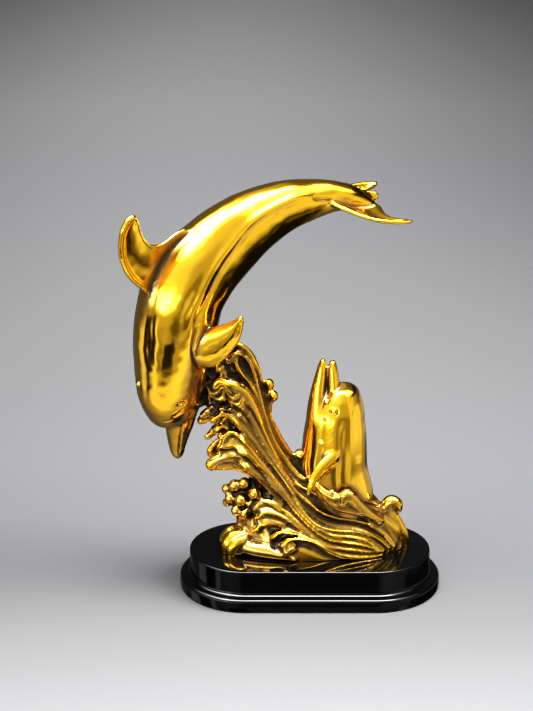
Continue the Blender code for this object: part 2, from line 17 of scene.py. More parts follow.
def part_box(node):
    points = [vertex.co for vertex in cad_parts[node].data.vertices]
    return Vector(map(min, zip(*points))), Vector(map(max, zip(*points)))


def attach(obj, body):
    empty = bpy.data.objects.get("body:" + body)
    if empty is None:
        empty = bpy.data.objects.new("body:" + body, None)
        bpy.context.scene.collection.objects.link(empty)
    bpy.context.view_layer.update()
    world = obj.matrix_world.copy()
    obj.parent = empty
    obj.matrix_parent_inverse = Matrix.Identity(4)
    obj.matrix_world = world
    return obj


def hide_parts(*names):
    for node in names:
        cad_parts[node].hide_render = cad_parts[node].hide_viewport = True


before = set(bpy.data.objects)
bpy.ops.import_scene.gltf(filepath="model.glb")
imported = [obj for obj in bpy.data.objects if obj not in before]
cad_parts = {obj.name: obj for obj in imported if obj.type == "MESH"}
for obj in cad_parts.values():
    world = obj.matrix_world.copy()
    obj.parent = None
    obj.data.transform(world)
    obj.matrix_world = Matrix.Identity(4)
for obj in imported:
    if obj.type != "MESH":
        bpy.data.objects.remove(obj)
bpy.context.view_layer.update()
PLINTH_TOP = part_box("plinth")[1].z
print("plinth's top face at", round(PLINTH_TOP * 1000, 2), "mm")

# %% [markdown]
# Two small helpers serve every material. Colours are written as sRGB hex, as a
# painter would pick them, and the shaders want linear light. One function adds
# any node, sets its values and links its inputs, so that a graph reads as a list.


# %% Helpers for materials
def linear(hex_colour):
    """A colour such as "#d9a520" as linear red, green, blue and alpha."""
    parts = [int(hex_colour[k : k + 2], 16) / 255 for k in (1, 3, 5)]
    return (*[p / 12.92 if p <= 0.04045 else ((p + 0.055) / 1.055) ** 2.4 for p in parts], 1.0)


def add_node(tree, kind, settings=None, **inputs):
    """A node with its settings, and its inputs set to a value or linked to a socket."""
    node = tree.nodes.new(kind)
    for name, value in (settings or {}).items():
        setattr(node, name, value)
    for name, value in inputs.items():
        socket = node.inputs[int(name[1:]) if name[1:].isdigit() else name.replace("_", " ")]
        if isinstance(value, bpy.types.NodeSocket):
            tree.links.new(value, socket)
        else:
            socket.default_value = value
    return node


def new_material(name):
    """An empty material: its node tree, and its Principled shader."""
    made = bpy.data.materials.new(name)
    made.use_nodes = True
    return made, made.node_tree, made.node_tree.nodes["Principled BSDF"]


# %% [markdown]
# The camera stands where the photographer's did. The plinth's two ovals give
# the angle, about twenty degrees down, and an 85 mm lens keeps the arch and the
# plinth in the proportion that the photograph shows.

# %% Camera
CAMERA_PITCH = math.radians(19.74)
CAMERA_PLACE = (-0.0366, -1.2843, 0.6656)
camera = bpy.data.objects.new("camera", bpy.data.cameras.new("camera"))
camera.data.lens = 85
camera.data.sensor_width = 36
camera.data.sensor_fit = "AUTO"
camera.location = CAMERA_PLACE
camera.rotation_euler = (math.pi / 2 - CAMERA_PITCH, 0, 0)
bpy.context.scene.collection.objects.link(camera)
bpy.context.scene.camera = camera
print("camera", round(math.hypot(*CAMERA_PLACE[:2]), 2), "m away and", CAMERA_PLACE[2], "m up")

# %% [markdown]
# The picture was finished with deep shadows, which no room gives by itself. So
# the shadows are deepened in the same place, by a curve in the view settings,
# and the light tones are left alone. The materials stay true, and keep their
# colours in another scene.

# %% Tone curve
# Linear brightness, and how bright it is shown
TONES = [(0.02, 0.009), (0.1, 0.065), (0.2, 0.16), (0.35, 0.33), (0.5, 0.5)]
view = bpy.context.scene.view_settings
view.view_transform = "Standard"
view.use_curve_mapping = True
for shadow in TONES:
    view.curve_mapping.curves[3].points.new(*shadow)
view.curve_mapping.update()
print("tones below", TONES[-1][0], "are shown darker")

# %% [markdown]
# Every free form here is a tube or a blade that is swept along a smooth line.
# The forms are drawn in millimetres from the middle of the plinth's top face,
# and fused afterwards, as clay would be, by a voxel remesh. First come the
# lines: a few chosen rows of numbers, and a smooth curve through them.

# %% Lines
MM = 0.001


def spaced(rows, count):
    """Points along a smooth curve through the rows, evenly spaced by their x, y and z."""
    rows = np.array(rows, float)
    steps = np.sqrt(np.linalg.norm(np.diff(rows[:, :3], axis=0), axis=1))
    knots = np.concatenate([[0.0], np.cumsum(steps)])
    slopes = np.gradient(rows, knots, axis=0, edge_order=1)
    fine = np.linspace(0.0, knots[-1], 24 * len(rows))
    span = np.clip(np.searchsorted(knots, fine, side="right") - 1, 0, len(rows) - 2)
    width = (knots[span + 1] - knots[span])[:, None]
    part = ((fine - knots[span]) / width[:, 0])[:, None]
    curve = (
        rows[span] * (2 * part**3 - 3 * part**2 + 1)
        + slopes[span] * width * (part**3 - 2 * part**2 + part)
        + rows[span + 1] * (3 * part**2 - 2 * part**3)
        + slopes[span + 1] * width * (part**3 - part**2)
    )
    run = np.concatenate([[0.0], np.cumsum(np.linalg.norm(np.diff(curve[:, :3], axis=0), axis=1))])
    even = np.linspace(0.0, run[-1], count)
    return np.column_stack([np.interp(even, run, column) for column in curve.T])


def unit(vectors):
    """Vectors of the same directions with a length of 1."""
    return vectors / np.maximum(np.linalg.norm(vectors, axis=-1, keepdims=True), 1e-9)


def frames(points, lateral):
    """Forward, left and up directions along a line, with left as near to the given directions as can be."""
    forward = unit(np.gradient(points, axis=0))
    left = unit(lateral - forward * np.sum(lateral * forward, axis=1, keepdims=True))
    return forward, left, np.cross(forward, left)


# %% [markdown]
# A loft skins a row of rings, and everything else is a loft: a tube has
# elliptical rings that may grow and shrink, and a cord has round ones and ends
# in balls. Ends may stick into other forms, because the remesh drops what is
# inside.


# %% Swept forms
def loft(bm, rings):
    """A closed skin over rings of points, with a middle point closing each end."""
    rows = [[bm.verts.new(point) for point in ring] for ring in rings]
    sides = len(rings[0])
    for near, far in zip(rows, rows[1:]):
        for k in range(sides):
            bm.faces.new((near[k], near[(k + 1) % sides], far[(k + 1) % sides], far[k]))
    for row, ring, step in ((rows[0], rings[0], -1), (rows[-1], rings[-1], 1)):
        middle = bm.verts.new(np.mean(ring, axis=0))
        for k in range(sides):
            pair = (row[k], row[(k + 1) % sides])[::step]
            bm.faces.new((*pair, middle))


def tube(bm, points, half_width, half_height, lateral, sides=16):
    """A swept solid with elliptical sections, which may differ along it."""
    _, left, up = frames(points, lateral)
    angle = np.linspace(0.0, 2 * math.pi, sides, endpoint=False)
    across = np.cos(angle)[None, :, None] * left[:, None, :] * half_width[:, None, None]
    above = np.sin(angle)[None, :, None] * up[:, None, :] * half_height[:, None, None]
    loft(bm, points[:, None, :] + across + above)


def ball(bm, centre, radius):
    """A drop or a knob."""
    made = bmesh.ops.create_icosphere(bm, subdivisions=3, radius=radius)
    bmesh.ops.translate(bm, verts=made["verts"], vec=centre)


def cord(bm, points, radius, knob=0.0):
    """A round rod along a line, with a ball at each end, the last one as big as the knob asks for."""
    points = np.asarray(points, float)
    radius = np.broadcast_to(np.asarray(radius, float), len(points))
    # A rod that runs from front to back is turned by the vertical, any other by the front
    away = np.where(np.abs(np.gradient(points[:, 1])).max() > 3, [[0.3, 0.2, 1.0]], [[0.0, -1.0, 0.05]])
    tube(bm, points, radius, radius, np.repeat(away, len(points), axis=0), sides=18)
    ball(bm, points[0], radius[0])
    ball(bm, points[-1], max(radius[-1], knob))


# %% [markdown]
# Fusing takes three steps: the overlapping forms are remeshed into one skin,
# the skin is relaxed until the voxels' steps are gone, and inner leftovers are
# dropped. The carving then moves its points, as a chaser works on a casting.


# %% Fusing
def outer_skin(bm):
    """Drops all but the largest connected piece."""
    unseen = set(bm.verts)
    pieces = []
    while unseen:
        piece, edge = set(), [unseen.pop()]
        while edge:
            vert = edge.pop()
            piece.add(vert)
            for link in vert.link_edges:
                other = link.other_vert(vert)
                if other in unseen:
                    unseen.remove(other)
                    edge.append(other)
        pieces.append(piece)
    largest = max(pieces, key=len)
    bmesh.ops.delete(bm, geom=[v for piece in pieces if piece is not largest for v in piece], context="VERTS")


def new_object(name, bm):
    """A mesh object in the scene, from forms drawn in a bmesh."""
    mesh = bpy.data.meshes.new(name)
    bm.to_mesh(mesh)
    bm.free()
    made = bpy.data.objects.new(name, mesh)
    bpy.context.scene.collection.objects.link(made)
    return made


def fused(name, draw, voxel, relax):
    """The forms that draw() makes, as one relaxed skin: an object in metres, in its place on the plinth."""
    bm = bmesh.new()
    draw(bm)
    bmesh.ops.recalc_face_normals(bm, faces=bm.faces)
    rough = new_object(name + "_rough", bm)
    remesh = rough.modifiers.new("fuse", "REMESH")
    remesh.mode = "VOXEL"
    remesh.voxel_size = voxel
    smooth = rough.modifiers.new("relax", "SMOOTH")
    smooth.factor = 0.5
    smooth.iterations = relax
    graph = bpy.context.evaluated_depsgraph_get()
    mesh = bpy.data.meshes.new_from_object(rough.evaluated_get(graph))
    bpy.data.objects.remove(rough)
    bm = bmesh.new()
    bm.from_mesh(mesh)
    outer_skin(bm)
    bmesh.ops.scale(bm, vec=(MM, MM, MM), verts=bm.verts)
    bmesh.ops.translate(bm, vec=(0, 0, PLINTH_TOP), verts=bm.verts)
    made = new_object(name, bm)
    made.data.shade_smooth()
    print(name, "has", len(made.data.polygons), "faces")
    return made


# %% [markdown]
# Carving needs the skin as numbers: where its points are, which way they face,
# and how they compare with their neighbours. Reading and writing all points at
# once keeps that quick on meshes of a hundred thousand points.


# %% Reading and moving a skin
def points_of(obj):
    """Points in drawing millimetres, and normals, of an object's mesh."""
    count = len(obj.data.vertices)
    points, normals = np.empty(3 * count), np.empty(3 * count)
    obj.data.vertices.foreach_get("co", points)
    obj.data.vertices.foreach_get("normal", normals)
    return (points.reshape(-1, 3) - [0, 0, PLINTH_TOP]) / MM, normals.reshape(-1, 3)


def move_points(obj, points):
    """Sets an object's points to new ones, in drawing millimetres."""
    obj.data.vertices.foreach_set("co", (points * MM + [0, 0, PLINTH_TOP]).ravel())
    obj.data.update()


def averaged(obj, values, steps):
    """Values of an object's points, each blended with its neighbours' this many times."""
    edges = np.empty(2 * len(obj.data.edges), np.int32)
    obj.data.edges.foreach_get("vertices", edges)
    start, end = edges.reshape(-1, 2).T
    count = len(values)
    links = np.bincount(start, minlength=count) + np.bincount(end, minlength=count)
    for _ in range(steps):
        total = [
            np.bincount(start, column[end], count) + np.bincount(end, column[start], count)
            for column in values.T
        ]
        values = 0.5 * values + 0.5 * np.column_stack(total) / links[:, None]
    return values


def rounded(obj, steps):
    """How far each point lies under the skin's own average, in millimetres: more than 0 in a hollow."""
    points, normals = points_of(obj)
    return np.sum((averaged(obj, points, steps) - points) * normals, axis=1)


def store(obj, name, values):
    """Keeps a number for each point, which the material reads by its name."""
    obj.data.attributes.new(name, "FLOAT", "POINT").data.foreach_set("value", np.asarray(values, np.float32))


# %% [markdown]
# A crease or a raised line is a stroke: every point near the line moves along
# its own normal, most at the line itself and less to the sides. The line fades
# in and out at its ends, as a tool that is set down and lifted.


# %% Strokes
BATCH = 4000  # points measured at a time, which keeps the memory low
STROKE_REACH = 2.6  # half widths from its line at which a stroke has faded away


def faded(values, none, full):
    """How far the values are on their way from none, which gives 0, to full, which gives 1."""
    return np.clip((values - none) / (full - none), 0.0, 1.0)


def stroke(points, normals, line, half_width, height, fade=0.15):
    """Raises the skin along a line, or sinks it if height is below 0. Changes points."""
    line = np.asarray(line, float)
    length = np.linalg.norm(np.diff(line, axis=0), axis=1).sum()
    line = spaced(line, max(8, int(4 * length / half_width)))
    low, high = line.min(axis=0) - STROKE_REACH * half_width, line.max(axis=0) + STROKE_REACH * half_width
    near = np.flatnonzero(np.all((points > low) & (points < high), axis=1))
    if len(near) == 0:
        return
    share = np.linspace(0.0, 1.0, len(line))
    for part in np.array_split(near, len(near) // BATCH + 1):
        apart = np.linalg.norm(points[part][:, None] - line[None], axis=2)
        nearest = apart.argmin(axis=1)
        ends = np.minimum(share[nearest], 1 - share[nearest]) / fade
        bump = height * np.exp(-((apart.min(axis=1) / half_width) ** 2)) * np.clip(ends, 0.0, 1.0)
        points[part] += normals[part] * bump[:, None]


def waviness(points, length, height, seed):
    """A soft random unevenness, as a hand-polished surface has. Length and height are in millimetres."""
    ripples = 14
    random = np.random.default_rng(seed)
    total = np.zeros(len(points))
    for _ in range(ripples):
        way = unit(random.normal(size=3))
        pitch = length * random.uniform(0.7, 1.5)
        total += np.sin(points @ way * (2 * math.pi / pitch) + random.uniform(0, 2 * math.pi))
    return total * height / math.sqrt(ripples / 2)


# %% [markdown]
# A dolphin's body is a line of stations from tail to forehead, each with its
# half width, its half height and the way that its left flank faces. Marks on
# the skin are given by station and by angle round the section: 0 is the middle
# of the left flank, 90 the back and -90 the belly.


# %% Dolphins' bodies
def facing(degrees):
    """The direction a flank faces, for an angle from the front towards +X; it looks slightly down."""
    turn = np.radians(degrees)
    return np.column_stack([np.sin(turn), -np.cos(turn), np.full_like(turn, -0.2)])


def body(bm, stations, count=160):
    """A dolphin's body or jaw through its stations, rounded off at the last one."""
    rows = spaced(stations, count)
    half_width, half_height = np.maximum(rows[:, 3:5], 0.4).T
    tube(bm, rows[:, :3], half_width, half_height, facing(rows[:, 5]), sides=72)


def on_body(stations, marks, lift=1.0):
    """Points on a body for (station, angle) marks; a lift below 1 gives points under the skin."""
    rows = spaced([(*row, k) for k, row in enumerate(stations)], 400)
    forward, left, up = frames(rows[:, :3], facing(rows[:, 5]))
    found = []
    for station, angle in marks:
        k = int(np.argmin(np.abs(rows[:, 6] - station)))
        turn = math.radians(angle)
        out = math.cos(turn) * left[k] * rows[k, 3] + math.sin(turn) * up[k] * rows[k, 4]
        found.append(rows[k, :3] + lift * out)
    return np.array(found)


def place_on(stations, near):
    """The point of a spine nearest to a given one, with the forward, left and up directions there."""
    rows = spaced(stations, 120)
    points, lateral = rows[:, :3], facing(rows[:, 5])
    k = int(np.argmin(np.linalg.norm(points - np.array(near, float), axis=1)))
    forward, left, up = frames(points, lateral)
    return points[k], forward[k], left[k], up[k]


# %% [markdown]
# A fin is a blade between two curves, its leading and its trailing edge. Both
# are drawn flat, by how far out and how far back they go, and the blade is then
# bowed. A rounded rim swells out of the body along each edge.


# %% Fins
def fin(bm, origin, out, back, outline, thickness, rim, dish=0.3, cup=0.0, sag=0.0, count=60):
    """A blade: the dish thins it in the middle, the cup bows it across and the sag along."""
    lead = spaced([(*point, 0.0) for point in outline[0]], count)
    trail = spaced([(*point, 0.0) for point in outline[1]], count)
    share = np.linspace(0.0, 1.0, count)
    side = unit(np.cross(out, back))
    drop = -sag * np.sin(math.pi * share)[:, None] * side
    edges = [origin + edge[:, :1] * out + edge[:, 1:2] * back + drop for edge in (lead, trail)]
    middle = (edges[0] + edges[1]) / 2
    chord = (edges[1] - edges[0]) / 2
    angle = np.linspace(0.0, 2 * math.pi, 48, endpoint=False)
    half = thickness * (1.0 - 0.5 * share)
    plate = np.sin(angle) * (1.0 - dish * np.sin(angle) ** 2)
    # The blade thins to half and flattens towards its tip
    bow = cup * (1.0 - 0.6 * share)[:, None] * np.sin(angle)[None, :] ** 2
    rings = (
        middle[:, None, :]
        + np.cos(angle)[None, :, None] * chord[:, None, :]
        + (plate[None, :] * half[:, None] + bow)[:, :, None] * side
    )
    loft(bm, rings)
    growing = np.clip(np.linspace(0.2, 3.0, count), 0.0, 1.0)
    cord(bm, (edges[0] + 0.03 * (edges[1] - edges[0]))[6:], rim * growing[6:])
    cord(bm, (edges[1] + 0.03 * (edges[0] - edges[1]))[10:], 0.6 * rim * growing[10:])


# %% [markdown]
# ## The diving dolphin
# Its body is one long taper from the tail stock to the forehead, and the beak
# is a slim form of its own that starts inside the head. Each station holds x,
# y, height, half width, half height and the way that the flank faces. Stations
# lie close together where the outline turns, at the forehead and the tail.

# %% Drawing of the diving dolphin
DIVER = [
    (50, 48, 288.5, 8.0, 2.0, 18),
    (33, 43, 293, 11.5, 9.5, 18),
    (16, 38, 295, 12.5, 13.5, 20),
    (-7, 30, 293, 16.0, 18.2, 22),
    (-28, 21, 289, 20.0, 22.5, 24),
    (-49, 13, 280, 24.5, 26.9, 27),
    (-66, 6, 269, 28.0, 30.0, 30),
    (-81, 0, 256, 31.0, 32.4, 32),
    (-92, -4, 245, 33.0, 34.0, 34),
    (-103, -7, 227, 34.0, 34.0, 36),
    (-108, -8, 209, 34.0, 33.5, 39),
    (-112, -6, 188, 32.5, 32.2, 42),
    (-114, -2, 165, 30.3, 30.4, 45),
    (-116.2, 3, 141, 26.5, 27.3, 48),
    (-117.2, 6, 129, 23.0, 23.8, 50),
    (-117.8, 8, 119, 18.2, 18.8, 50),
    (-118, 9.5, 111, 11.6, 12.0, 50),
    (-118, 10.5, 105.5, 0.0, 0.0, 50),
]
DIVER_BEAK = [
    (-106, 8, 137, 19.5, 17.0, 50),
    (-108, 12, 124, 16.5, 14.5, 50),
    (-109, 16, 110, 13.2, 12.2, 50),
    (-111, 21, 95, 10.2, 9.6, 50),
    (-112, 25, 83, 7.6, 7.2, 50),
    (-112, 28, 73, 5.0, 4.8, 50),
    (-112, 30, 67, 0.0, 0.0, 50),
]
DORSAL_FIN = (
    [(8, -15), (24, -10), (41, -2), (55, 4), (67, 13), (75, 24), (80, 38), (79, 48), (76, 52)],
    [(6, 52), (24, 53), (38, 38), (47, 34), (55, 36), (63, 42), (69, 48), (73, 52)],
)
FLIPPER = (
    [(-14, -9), (0, -10), (10, -7), (20, 4), (27, 16), (31, 27), (32, 42)],
    [(-14, 20), (-1, 22), (7, 27), (15, 32), (22, 37), (28, 42), (31, 45)],
)
FLUKE = (
    [(0, -30), (9, -24), (17, -15), (26, -4), (33, 8), (36, 20), (37, 30), (36, 36)],
    [(0, 16), (6, 22), (13, 22), (20, 22), (27, 26), (32, 33), (35, 36)],
)


def flipper_root(hand):
    """Where a flipper of the diving dolphin starts, and the ways out and back."""
    origin, forward, left, up = place_on(DIVER, (-112, -6, 188))
    root, droop = math.radians(7), math.radians(20)
    start = origin + 31 * (math.cos(root) * left * hand - math.sin(root) * up)
    return start, math.cos(droop) * left * hand - math.sin(droop) * up, -forward


def fluke_root():
    """The middle of the tail, and the ways across and back along its blades."""
    origin, forward, left, up = place_on(DIVER, (33, 43, 293))
    skew = math.radians(6)
    across = math.cos(skew) * left - math.sin(skew) * forward
    return origin + 4 * across, across, -math.cos(skew) * forward - math.sin(skew) * left


def draw_diver(bm):
    body(bm, DIVER, 260)
    body(bm, DIVER_BEAK, 80)
    origin, forward, left, up = place_on(DIVER, (-103, -7, 227))
    fin(bm, origin, up, -forward, DORSAL_FIN, 5.0, 2.6, dish=0.55, cup=2.5)
    for hand in (1, -1):
        fin(bm, *flipper_root(hand), FLIPPER, 6.5, 2.2, dish=0.1, cup=3.0)
    middle, across, back = fluke_root()
    for hand in (1, -1):
        fin(bm, middle, across * hand, back, FLUKE, 4.4, 1.9, dish=0.85, cup=-3.0 * hand, sag=3.0 * hand)
    # The far end of the tail's rear edge shows as a lobe of its own
    lobe = spaced([(34, 46, 292), (44, 49, 292.5), (51, 51, 292), (55.5, 51, 291.5)], 24)
    deep = np.interp(np.linspace(0.0, 1.0, 24), [0.0, 0.5, 0.85, 1.0], [7.0, 5.6, 4.0, 1.2])
    tube(bm, lobe, np.full(24, 2.0), deep, np.repeat([[0.3, -0.95, -0.1]], 24, axis=0))


diver = fused("diving_dolphin", draw_diver, voxel=1.0, relax=14)

# %% [markdown]
# The real skin is polished by hand, so it is never quite even: long soft
# hollows run along the flank, a ridge divides flank from belly, and a tool has
# cut the mouth, the crease between beak and forehead and the ring at the
# flipper. The head is the smoothest part, and mirrors the room with few waves.

# %% Carving of the diving dolphin
DIVER_EYES, DIVER_EYE = ((12.84, 23), (12.47, 105)), 2.2
RISER_EYES, RISER_EYE = ((4.97, -19), (4.97, 199)), 2.4
EYE_GROOVE = 1.35  # a cut groove lies round each eye, this many times its radius


def eye_ring(stations, mark, radius, count=24):
    """A closed circle of points on a body round a (station, angle) mark."""
    centre, under = on_body(stations, [mark])[0], on_body(stations, [mark], 0.9)[0]
    outward = unit(centre - under)
    across = unit(np.cross(outward, [0.0, 0.0, 1.0]))
    above = np.cross(across, outward)
    turn = np.linspace(0.0, 2 * math.pi, count + 1)
    return centre + radius * (np.cos(turn)[:, None] * across + np.sin(turn)[:, None] * above)


points, normals = points_of(diver)
flank_ridge = [
    (2.6, 24), (3.4, 38), (4.0, 37), (5.2, 35), (6.3, 28), (7.5, 23), (8.7, 18), (9.6, 22), (10.3, 20),
]
for shift, half_width, height in ((0, 3.2, 1.1), (-9, 2.6, -0.7), (8, 4.5, -0.6)):
    stroke(points, normals, on_body(DIVER, [(s, a + shift) for s, a in flank_ridge]), half_width, height)
back_ridge = [(6.3, 66), (7.1, 80), (7.9, 82), (9.0, 79), (9.8, 78), (10.8, 76), (11.7, 74)]
stroke(points, normals, on_body(DIVER, back_ridge), 4.0, -0.7)
stroke(points, normals, on_body(DIVER, [(2.2, 12), (2.7, 22), (2.9, 33)]), 1.6, -0.9)
beak_crease = on_body(DIVER, [(14.7, 60), (14.5, 46), (14.2, 35)])
stroke(points, normals, beak_crease, 1.1, -0.6, fade=0.3)
stroke(points, normals, on_body(DIVER, [(14.0, 36), (13.6, 29), (13.2, 22)]), 1.7, -1.2, fade=0.4)
mouth = on_body(DIVER_BEAK, [(0.45, 42), (1.1, 41), (1.74, 43), (2.6, 40), (3.52, 35), (4.64, 39)])
stroke(points, normals, mouth, 0.9, -0.9, fade=0.1)
ring = on_body(DIVER, [(9.6, 4), (10.0, 12), (10.5, 13), (11.0, 9), (11.5, 0), (11.7, -8)])
stroke(points, normals, ring, 1.1, -0.8, fade=0.2)
for mark in DIVER_EYES:
    stroke(points, normals, eye_ring(DIVER, mark, EYE_GROOVE * DIVER_EYE), 0.9, -0.8, fade=0.01)
uneven = 0.2 + 0.8 * faded(points[:, 2], 160.0, 205.0)
points += normals * (uneven * waviness(points, 26, 0.16, seed=3))[:, None]
points += normals * waviness(points, 11, 0.035, seed=4)[:, None]
move_points(diver, points)

# %% [markdown]
# ## The rising dolphin
# It stands up out of the wave with its mouth open: a stout body, two jaws and a
# small flipper on each side that points down and outwards.

# %% Drawing of the rising dolphin
RISER = [
    (30, 5, 10, 22.0, 24.0, 0),
    (26, 5, 42, 25.0, 27.5, 0),
    (20, 5, 70, 26.0, 28.0, 0),
    (20, 5, 91, 25.5, 27.0, 0),
    (21, 5, 113, 23.0, 24.5, 0),
    (24, 5, 127, 20.0, 20.5, 0),
    (26, 5, 136, 16.5, 16.0, 0),
    (27, 5, 143, 10.5, 10.5, 0),
    (27, 5, 147, 0.0, 0.0, 0),
]
RISER_UPPER_JAW = [
    (20.0, 5, 118, 14.0, 8.0, 0),
    (18.6, 5, 134, 11.0, 6.2, 0),
    (18.0, 5, 150, 8.0, 5.3, 0),
    (17.6, 5, 160, 5.4, 3.8, 0),
    (17.2, 5, 165.5, 2.6, 2.2, 0),
]
RISER_LOWER_JAW = [
    (10, 5, 96, 20.0, 14.0, 0),
    (7, 5, 114, 17.0, 11.0, 0),
    (6, 5, 128, 13.0, 8.4, 0),
    (6.6, 5, 142, 9.6, 6.2, 0),
    (8.0, 5, 153, 7.0, 4.8, 0),
    (9.0, 5, 162, 4.6, 3.2, 0),
    (9.8, 5, 167, 2.3, 1.8, 0),
]
RISER_FLIPPER = (
    [(-6, 6), (3, 11), (10, 17), (16, 24), (19, 28)],
    [(-6, -8), (4, -1), (11, 5), (17, 14), (20, 25)],
)


def draw_riser(bm):
    body(bm, RISER, 200)
    body(bm, RISER_UPPER_JAW, 60)
    body(bm, RISER_LOWER_JAW, 60)
    out, back = np.array([-0.86, -0.51, 0.0]), np.array([0.0, 0.0, -1.0])
    for hand in (1, -1):
        mirrored = np.array([1, hand, 1])
        start = np.array([14.0, 5.0 - 25.0 * hand, 90.0])
        fin(bm, start, out * mirrored, back, RISER_FLIPPER, 4.2, 1.7, dish=0.1, cup=2.0 * hand)


riser = fused("rising_dolphin", draw_riser, voxel=0.9, relax=10)

# %% [markdown]
# Its jaws are two forms that merge low down, so the mouth is finished by one
# deep cut between them. Shallow hollows down the flank and the throat give the
# long streaks of light that a mirror finish shows.

# %% Carving of the rising dolphin
points, normals = points_of(riser)
for marks, half_width, height in (
    ([(4.7, 3), (4.2, 7), (3.5, 9), (2.8, 10), (2.0, 10), (1.3, 9)], 2.6, -0.8),
    ([(5.6, 14), (4.7, 22), (3.8, 26), (2.8, 27), (1.9, 27), (1.3, 26)], 2.8, 0.7),
    ([(5.7, 32), (4.7, 42), (3.6, 45), (2.6, 45)], 3.0, -0.5),
    ([(4.5, -34), (4.0, -31), (3.4, -28)], 2.4, -0.6),
):
    stroke(points, normals, on_body(RISER, marks), half_width, height)
slit = [
    (13.4, 2, 166), (13.0, 1, 160), (12.6, -1, 153), (12.5, -4, 145), (12.9, -6, 138), (13.8, -9, 132),
    (14.3, -12, 127),
]
stroke(points, normals, slit, 0.9, -2.4, fade=0.3)
stroke(points, normals, [(10, -17, 106), (8, -18, 96), (6, -18, 82), (4, -18, 70)], 2.2, -0.6, fade=0.4)
stroke(points, normals, [(1, -8, 140), (-2, -9, 120), (-6, -10, 100), (-9, -10, 84)], 2.2, -0.8)
for mark in RISER_EYES:
    stroke(points, normals, eye_ring(RISER, mark, EYE_GROOVE * RISER_EYE), 0.9, -0.8, fade=0.01)
points += normals * waviness(points, 30, 0.10, seed=5)[:, None]
move_points(riser, points)

# %% [markdown]
# ## The eyes
# Each eye is a polished bead in a raised ring, on a low dome that is coloured
# dark all over. They are too fine for the voxels, so they are small pieces of
# their own, sunk into the heads.


# %% Eyes
def eye(bm, stations, mark, radius):
    """A bead in a ring on a body, at a (station, angle) mark."""
    centre, under = on_body(stations, [mark])[0], on_body(stations, [mark], 0.9)[0]
    outward = unit(centre - under)
    thick = 0.28 * radius
    around = np.linspace(0.0, 2 * math.pi, 12, endpoint=False)
    rows = []
    for point in eye_ring(stations, mark, radius, 40)[:-1]:
        away = unit(point - centre)
        section = [point + thick * (math.cos(a) * away + math.sin(a) * outward) for a in around]
        rows.append([bm.verts.new(corner) for corner in section])
    for k, row in enumerate(rows):
        following = rows[(k + 1) % len(rows)]
        for j in range(len(around)):
            m = (j + 1) % len(around)
            bm.faces.new((row[j], following[j], following[m], row[m]))
    ball(bm, centre + 0.1 * radius * outward, 0.75 * radius)


# How many times the eye's radius each ring of the dome under it is wide, and its lift in millimetres
SOCKET_RINGS = [(1.5, -0.9), (1.38, -0.1), (1.05, 0.15), (0.5, 0.25)]


def eye_socket(bm, stations, mark, radius):
    """A low dark dome under an eye, wider than its ring."""
    under, over = on_body(stations, [mark], 0.9)[0], on_body(stations, [mark])[0]
    outward = unit(over - under)
    loft(bm, [eye_ring(stations, mark, wide * radius)[:-1] + lift * outward for wide, lift in SOCKET_RINGS])


def on_the_heads(name, form):
    """One object of a form at each of the four eyes. Its parts aren't fused."""
    bm = bmesh.new()
    for stations, marks, radius in ((DIVER, DIVER_EYES, DIVER_EYE), (RISER, RISER_EYES, RISER_EYE)):
        for mark in marks:
            form(bm, stations, mark, radius)
    bmesh.ops.recalc_face_normals(bm, faces=bm.faces)
    bmesh.ops.scale(bm, vec=(MM, MM, MM), verts=bm.verts)
    bmesh.ops.translate(bm, vec=(0, 0, PLINTH_TOP), verts=bm.verts)
    made = new_object(name, bm)
    made.data.shade_smooth()
    print(name, "has", len(made.data.polygons), "faces")
    return made


eyes = on_the_heads("eyes", eye)
sockets = on_the_heads("eye_sockets", eye_socket)

# %% [markdown]
# ## The breaking wave
# The wave is a shell that leans and narrows upwards. Ribs run up it like the
# folds of a shawl, from the right end of the foot to the curled tips at the
# left, and the back repeats the front. SHELL holds level slices of the shell:
# height, left and right ends, middle and half depth.

# %% Shell of the wave
SHELL = [
    (0, -64, 80, 1, 30),
    (13, -61, 78, 1, 29),
    (27, -60, 72, 1, 26),
    (40, -56, 60, 2, 23),
    (50, -51, 50, 3, 21),
    (59, -51, 18, 4, 19),
    (68, -53, 4, 5, 17),
    (77, -59, -9, 6, 16),
    (95, -61, -21, 7, 13),
    (113, -62, -30, 8, 11),
    (131, -66, -37, 8, 10),
    (149, -71, -41, 8, 9),
    (167, -70, -46, 8, 7),
    (180, -63, -56, 8, 4),
]
BACKING = [
    (74, -58, -30, 8, 6),
    (84, -68, -28, 9, 7),
    (98, -74, -30, 9, 8),
    (114, -78, -34, 9, 8),
    (130, -91, -38, 10, 8),
    (146, -95, -42, 10, 8),
    (160, -92, -46, 9, 8),
    (172, -84, -50, 8, 6),
    (179, -70, -56, 8, 3),
]
CORE_INSET = 0.7  # the shell is this much thinner than drawn, to leave room for the ribs
print("the wave's shell is", SHELL[0][2] - SHELL[0][1], "mm long at the foot and", SHELL[-1][0], "mm high")

# %% [markdown]
# A rib's crest is drawn as it shows from the front: x, height and, where it
# isn't 0, how far it stands off the shell. The highest rib comes first. The ribs of the plume run
# far up and curl over, the lip shuts them off below, and those of the fan are
# short and break low over the foot.

